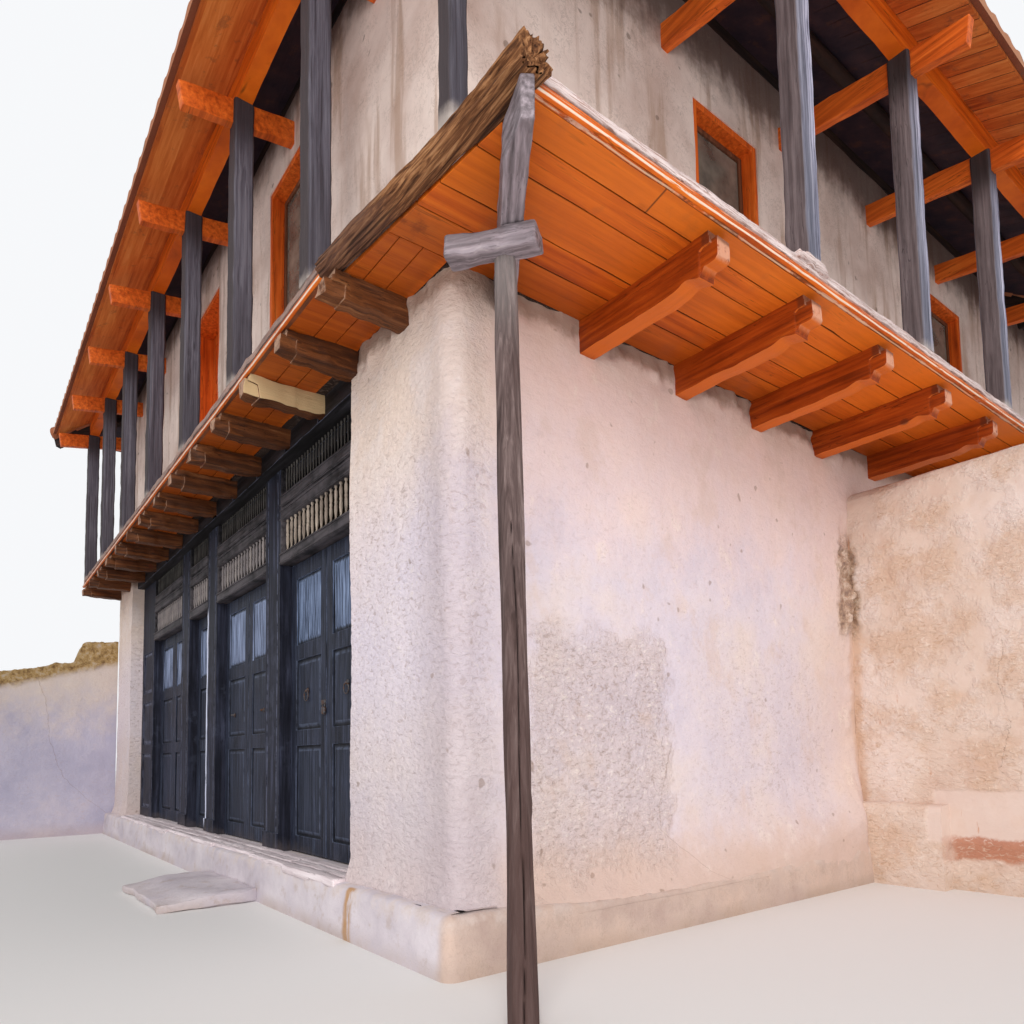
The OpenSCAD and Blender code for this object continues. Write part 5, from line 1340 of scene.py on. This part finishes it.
def clay():
    """Fired clay with a tone for each tile and grey moss."""
    f = Finish("clay_tiles", Specular_IOR_Level=0.3)
    tone = f.written("tone")
    clouds = f.noise(1.4, detail=8, rough=0.6)
    grit = f.noise(55, detail=5, rough=0.7)
    f.colour = f.ramp(tone * 0.6 + clouds * 0.4, (0.15, (0.2, 0.062, 0.032)), (0.4, (0.34, 0.11, 0.05)),
                      (0.65, (0.45, 0.18, 0.09)), (0.9, (0.52, 0.28, 0.17)))
    moss = f.noise(4, detail=8, rough=0.7).rise(0.56, 0.7)
    f.coat(moss * 0.55, (0.11, 0.09, 0.075))
    return f.surface_of(0.86, grit * 0.5 + clouds * 0.4, 0.006)


def per_tile(piece, index):
    """Writes a random tone for each tile, found from the middles of the faces."""
    middles = np.empty(len(piece.data.polygons) * 3, np.float32)
    piece.data.polygons.foreach_get("center", middles)
    key = index(middles.reshape(-1, 3) - (corner_x, corner_y, 0))
    mixed = (key.astype(np.int64) * 48271 + 991) % 2147483647
    mixed = (mixed ^ (mixed >> 9)) * 69621 % 2147483647
    layer = piece.data.attributes.new("tone", "FLOAT", "FACE")
    layer.data.foreach_set("value", (mixed % 1000 / 1000.0).astype(np.float32))


def tile_slope(name, side, first):
    """One slope: round ridges across it and a step at each course, drawn in to the hips."""
    out = 0.04
    low, high = np.array(eave_low) - out, np.array(eave_high) + out
    axis = side % 2
    along = stops(low[1 - axis], high[1 - axis], step=tile_pitch / 6)
    count = math.ceil((half_span + out) / course)
    places = np.concatenate([(k + np.array((0, 0.015, 0.5, 0.985))) * course for k in range(count)])
    places = places[places < half_span + out]
    a, d = np.meshgrid(along, places)
    a = np.clip(a, low[1 - axis] + d, high[1 - axis] - d)
    part = (d / course) % 1.0
    wave = np.cos(a * 2 * math.pi / tile_pitch)
    tile = np.where(wave > -0.3, 0.018 * (wave + 0.3), 0.006 * (wave + 0.3))
    row = np.floor(d / course)
    lift = tile_lift + tile + 0.016 * (1 - part) + 0.004 * np.sin(row * 7.3 + np.floor(a / tile_pitch) * 3.1)
    slope = np.zeros(a.shape + (3,))
    slope[..., 1 - axis] = a
    slope[..., axis] = low[axis] + d if first else high[axis] - d
    base = eave_z + roof_rise * (d - out)
    inside = slope.copy()
    slope[..., 2], inside[..., 2] = base + lift, base + 0.029
    points, faces = two_sheets(slope, inside)
    piece = made(name, points + (corner_x, corner_y, 0), faces, bpy.data.materials["clay_tiles"], sharp=35)
    flatten(piece)
    per_tile(piece, lambda p: np.floor(p[:, 1 - axis] / tile_pitch + 0.5) * 131 + np.floor(
        ((p[:, axis] - low[axis]) if first else (high[axis] - p[:, axis])) / course) * 7 + side)
    return piece


clay()
slopes = [tile_slope("tiles_" + name, side, first) for name, side, first in
          (("right", 0, False), ("back", 1, False), ("left", 0, True), ("front", 1, True))]
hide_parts("roof_tiles")


def hip_tiles():
    """Tapered round tiles, each lapped over the one below it, along the four hips and the ridge."""
    foot, top = eave_z + tile_lift, eave_z + roof_rise * half_span + tile_lift
    ends = ((-4.0975, 3.8475), (-3.3525, 3.8475))
    lines = [((x, y), ends[x == eave_high[0]]) for x in (eave_low[0], eave_high[0])
             for y in (eave_low[1], eave_high[1])] + [ends]
    grids = []
    for start, end in lines:
        start, end = np.array((*start, top if start == ends[0] else foot)), np.array((*end, top))
        length = np.linalg.norm(end - start)
        count = max(2, round(length / 0.36))
        for k in range(count):
            part = np.array((k - 0.06, k - 0.055, k + 0.5, k + 1.0)) / count
            line = start + (end - start) * np.clip(part, 0, 1.0)[:, None]
            if k == 0:
                line[0] = start - (end - start) * 0.002
            radius = np.array((0.088, 0.1, 0.092, 0.078))[:, None] * np.ones(14)
            grid = carried(line + (0, 0, -0.012), radius, 14, side=(0.3, 1, 0))
            grids.append(shaken(grid, 0.2, 0.003, 7 * k))
    piece = joined("hip_and_ridge_tiles", placed(grids), bpy.data.materials["clay_tiles"], sharp=45)
    per_tile(piece, lambda p: np.floor(p[:, 2] / 0.1) * 13 + np.floor(p[:, 0] + 0.5 * p[:, 1]) * 5)
    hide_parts("ridge_tiles")


hip_tiles()

# Yard walls. Low earth walls that meet the house: the right one warm and cracked, rounded along
# its top, with a rendered bench in the corner; the left one pale, its top broken to rubble.


def yard_block(profile, start, end, across, step, bumpy):
    """An upright wall: a profile of (across, z) points carried along the other axis and moved by noise."""
    profile = np.array(profile)
    gaps = [profile[i:i + 2] for i in range(len(profile) - 1)] + [profile[[-1, 0]]]
    loop = np.concatenate([a + (b - a) * (np.arange(n) / n)[:, None] for a, b in gaps
                           for n in (max(1, math.ceil(np.linalg.norm(b - a) / step)),)])
    places = stops(start, end, step=step)
    grid = np.zeros((len(places), len(loop), 3))
    grid[..., across], grid[..., 2] = loop[:, 0], loop[:, 1]
    grid[..., 1 - across] = places[:, None]
    middle = loop.mean(axis=0)
    out = np.roll(loop, -1, 0) - np.roll(loop, 1, 0)
    out = np.column_stack((out[:, 1], -out[:, 0]))
    out /= np.linalg.norm(out, axis=1)[:, None] + 1e-9
    out *= np.sign(((loop - middle) * out).sum(axis=1).sum())
    move = bumpy * (lumps(grid, 0.8, 51) + 0.6 * lumps(grid, 0.3, 52) + 0.35 * rough(grid, 0.12, 3, 53))
    move *= (loop[:, 1] > 0.01)
    grid[..., across] += move * out[:, 0]
    grid[..., 2] = np.maximum(grid[..., 2] + move * out[:, 1], 0.0)
    return grid


def yard_render():
    """Pinkish cream render on the right wall, lavender white on the left one, there darker and bluer partly as painted
    shade; both cracked, with rubble tops.
    """
    f = Finish("yard_render", Specular_IOR_Level=0.15)
    clouds = f.noise(1.5, detail=7, rough=0.62)
    blots = f.noise(6, detail=7, rough=0.65)
    dabs = f.noise(24, f.stretched((1, 1, 1.7), (3, 5, 9)), detail=4, rough=0.6, warp=1.0)
    left = f.x.rise(-4.0, -5.0)
    warm = f.ramp(clouds, (0.34, (0.64, 0.46, 0.37)), (0.48, (0.72, 0.57, 0.48)), (0.62, (0.78, 0.65, 0.59)))
    # The left wall's lavender is darker and bluer than the right wall's: partly its own colour, partly painted shade.
    cool_and_shaded = f.ramp(clouds, (0.32, (0.42, 0.4, 0.52)), (0.5, (0.5, 0.47, 0.58)), (0.68, (0.62, 0.55, 0.6)))
    cool_and_shaded = f.mix((f.z + blots).rise(1.6, 2.6) * 0.7, cool_and_shaded, (0.72, 0.6, 0.48))
    f.colour = f.mix(left, warm, cool_and_shaded)
    straw = f.noise(2.6, detail=6, rough=0.65)
    f.coat(straw.rise(0.46, 0.6) * (1 - left) * 0.45, (0.64, 0.42, 0.28))
    smooth_low = (f.z + blots * 0.04).rise(0.69, 0.66) * f.x.rise(0.49, 0.53) * f.z.rise(0.3, 0.34) * (1 - left)
    f.coat(smooth_low * 0.6, (0.74, 0.6, 0.54))
    coarse = (blots + straw).rise(0.85, 1.15).most(f.z.rise(1.3, 0.7) * 0.8) * (1 - smooth_low) * (1 - left * 0.7)
    f.coat(dabs.rise(0.45, 0.34) * coarse * 0.55, (0.5, 0.31, 0.2))
    f.coat(dabs.rise(0.56, 0.68) * coarse * 0.4, (0.92, 0.8, 0.7))
    torn = (f.x + blots * 0.2).rise(0.2, 0.12) * (f.z + blots * 0.4).within(2.0, 2.68, 0.12)
    clods = f.noise(20, f.stretched((1, 1, 0.6), (7, 7, 7)), detail=5, rough=0.7)
    line_down = (f.x + blots * 0.12).rise(0.14, 0.08) * f.z.rise(2.6, 2.0)
    f.coat(line_down * (1 - left) * 0.5, (0.56, 0.31, 0.16))
    lumps_torn = f.ramp(clods, (0.36, (0.14, 0.07, 0.04)), (0.5, (0.38, 0.22, 0.13)), (0.62, (0.66, 0.5, 0.38)))
    f.coat(torn * (1 - left) * 0.85, lumps_torn)
    rust = f.noise((16, 16, 3.5), shift=(2, 0, 6), detail=4, rough=0.6).rise(0.66, 0.72) * (1 - left)
    f.coat(rust * 0.6, (0.55, 0.25, 0.13))
    brick = (f.z + blots * 0.14).within(0.27, 0.42, 0.015) * (f.x + blots * 0.1).rise(0.62, 0.7)
    f.coat(brick * dabs.rise(0.3, 0.46) * 0.8, f.mix(straw, (0.36, 0.1, 0.05), (0.56, 0.24, 0.12)))
    right_points = ((0.7, 1.035), (0.792, 0.926), (1.107, 0.984), (1.43, 0.947), (1.62, 0.975))
    left_points = ((0.224, -0.033), (0.491, -0.351), (0.759, -0.593), (1.249, -0.758), (1.672, -0.791), (2.104, -0.921))
    right_crack = f.trail(f.z, f.x, right_points, 0.004, 0.035)
    left_crack = f.trail(f.z, f.y, left_points, 0.006, 0.02)
    cracks = (right_crack * (1 - left) * straw.rise(0.38, 0.5)).most(left_crack * left * 0.8)
    f.coat(cracks * 0.55, (0.24, 0.15, 0.11))
    rubble = (f.z + f.y * -0.29 - 2.38 + blots * 0.1).rise(-0.12, 0.0) * left
    rubble_colour = f.ramp(f.noise(14, detail=6, rough=0.7), (0.35, (0.16, 0.09, 0.04)), (0.52, (0.42, 0.28, 0.12)),
                           (0.68, (0.5, 0.42, 0.34)))
    f.coat(rubble, rubble_colour)
    foot = (f.z + blots * 0.2).rise(0.3, 0.12)
    f.coat(foot * 0.3, (0.5, 0.34, 0.24))
    height = blots * 0.6 + dabs * (coarse + torn * (1 - left) * 2.0) + rubble * 0.3
    return f.surface_of(0.93, height, 0.013)


yard_finish = yard_render()
turn = np.linspace(math.pi, 0, 9)
cap = [(3.723 + 0.175 * math.cos(t), 2.76 + 0.14 * math.sin(t)) for t in turn]
right_wall = yard_block([(3.548, 0.0)] + cap + [(3.898, 0.0)], -0.01, 2.3, 1, 0.026, 0.012)
bench_turn = np.linspace(math.pi, math.pi / 2, 5)
bench_cap = [(3.478 + 0.06 * math.cos(t), 0.5 + 0.06 * math.sin(t)) for t in bench_turn]
bench = yard_block([(3.418, 0.0)] + bench_cap + [(3.56, 0.56), (3.56, 0.0)], -0.01, 0.6, 1, 0.026, 0.008)
right_yard = joined("right_yard_render", placed([right_wall, bench]), yard_finish, sharp=60)
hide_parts("yard_wall_right")
left_profile = [(-8.35, 0.0), (-8.35, 1.0), (-8.38, 1.0), (-8.67, 1.0), (-8.7, 1.0), (-8.7, 0.0)]
left_wall = yard_block(left_profile, -2.0, 0.01, 0, 0.02, 0.009)
top = np.interp(left_wall[..., 1], (-2.0, -1.287, -0.87, -0.485, -0.4, 0.0), (2.0, 2.121, 2.21, 2.287, 2.53, 2.575))
left_wall[..., 2] *= top - 0.02 * (1 + rough(left_wall * (1, 1, 0), 0.12, 4, 57)) * smooth(left_wall[..., 2], 0.8, 1.0)
left_yard = joined("left_yard_render", placed([left_wall]), yard_finish, sharp=60)
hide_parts("yard_wall_left")

# Floor, light and camera. A plain pale floor, a soft white sky, one broad key light and a low
# broad fill that stands in for the light thrown up from the ground.

bpy.ops.mesh.primitive_plane_add(size=160, location=(0, 0, 0))
floor = bpy.context.object
floor.name = "studio_floor"
pale = Finish("studio_pale", Roughness=0.9, Specular_IOR_Level=0.2)
pale.surface.inputs["Base Color"].default_value = (0.8, 0.79, 0.78, 1)
floor.data.materials.append(pale.material)

world = bpy.data.worlds.new("studio")
bpy.context.scene.world = world
world.use_nodes = True
sky = world.node_tree
light = sky.nodes["Background"]
light.inputs["Color"].default_value = (0.97, 0.98, 1.0, 1)
light.inputs["Strength"].default_value = 0.66
white = sky.nodes.new("ShaderNodeBackground")
white.inputs["Color"].default_value = (0.93, 0.94, 0.96, 1)
white.inputs["Strength"].default_value = 1.0
seen = sky.nodes.new("ShaderNodeLightPath")
either = sky.nodes.new("ShaderNodeMixShader")
sky.links.new(seen.outputs["Is Camera Ray"], either.inputs[0])
sky.links.new(light.outputs[0], either.inputs[1])
sky.links.new(white.outputs[0], either.inputs[2])
sky.links.new(either.outputs[0], sky.nodes["World Output"].inputs["Surface"])

key = in_scene("key", bpy.data.lights.new("key", "SUN"))
key.data.energy = 1.3
key.data.angle = math.radians(30)
key.data.color = (1.0, 0.98, 0.95)
key.rotation_euler = Vector((-0.72, 0.62, -0.6)).to_track_quat("-Z", "Y").to_euler()

fill = in_scene("fill", bpy.data.lights.new("fill", "AREA"))
fill.data.energy = 330
fill.data.size = 5
fill.data.color = (1.0, 0.98, 0.96)
fill.location = (corner_x + 4.9, corner_y - 3.3, 0.5)
fill.rotation_euler = Vector((-0.95, 0.9, 0.55)).to_track_quat("-Z", "Y").to_euler()

focal_px, principal_y = 733.64, 699.57
yaw, pitch, roll = (math.radians(a) for a in (52.43, 4.336, -0.986))
camera = in_scene("camera", bpy.data.cameras.new("camera"))
camera.data.sensor_width = 36
camera.data.lens = 36 * focal_px / 1024
camera.data.shift_y = (principal_y - 512) / 1024
camera.data.clip_end = 300
ahead = Vector((-math.sin(yaw) * math.cos(pitch), math.cos(yaw) * math.cos(pitch), math.sin(pitch)))
level_right = Vector((math.cos(yaw), math.sin(yaw), 0))
level_up = level_right.cross(ahead)
right = math.cos(roll) * level_right + math.sin(roll) * level_up
up = math.cos(roll) * level_up - math.sin(roll) * level_right
turn = Matrix((right, up, -ahead)).transposed()
camera.matrix_world = Matrix.Translation((corner_x + 2.7558, corner_y - 1.7890, 0.9383)) @ turn.to_4x4()
bpy.context.scene.camera = camera
bpy.context.scene.view_settings.view_transform = "Standard"
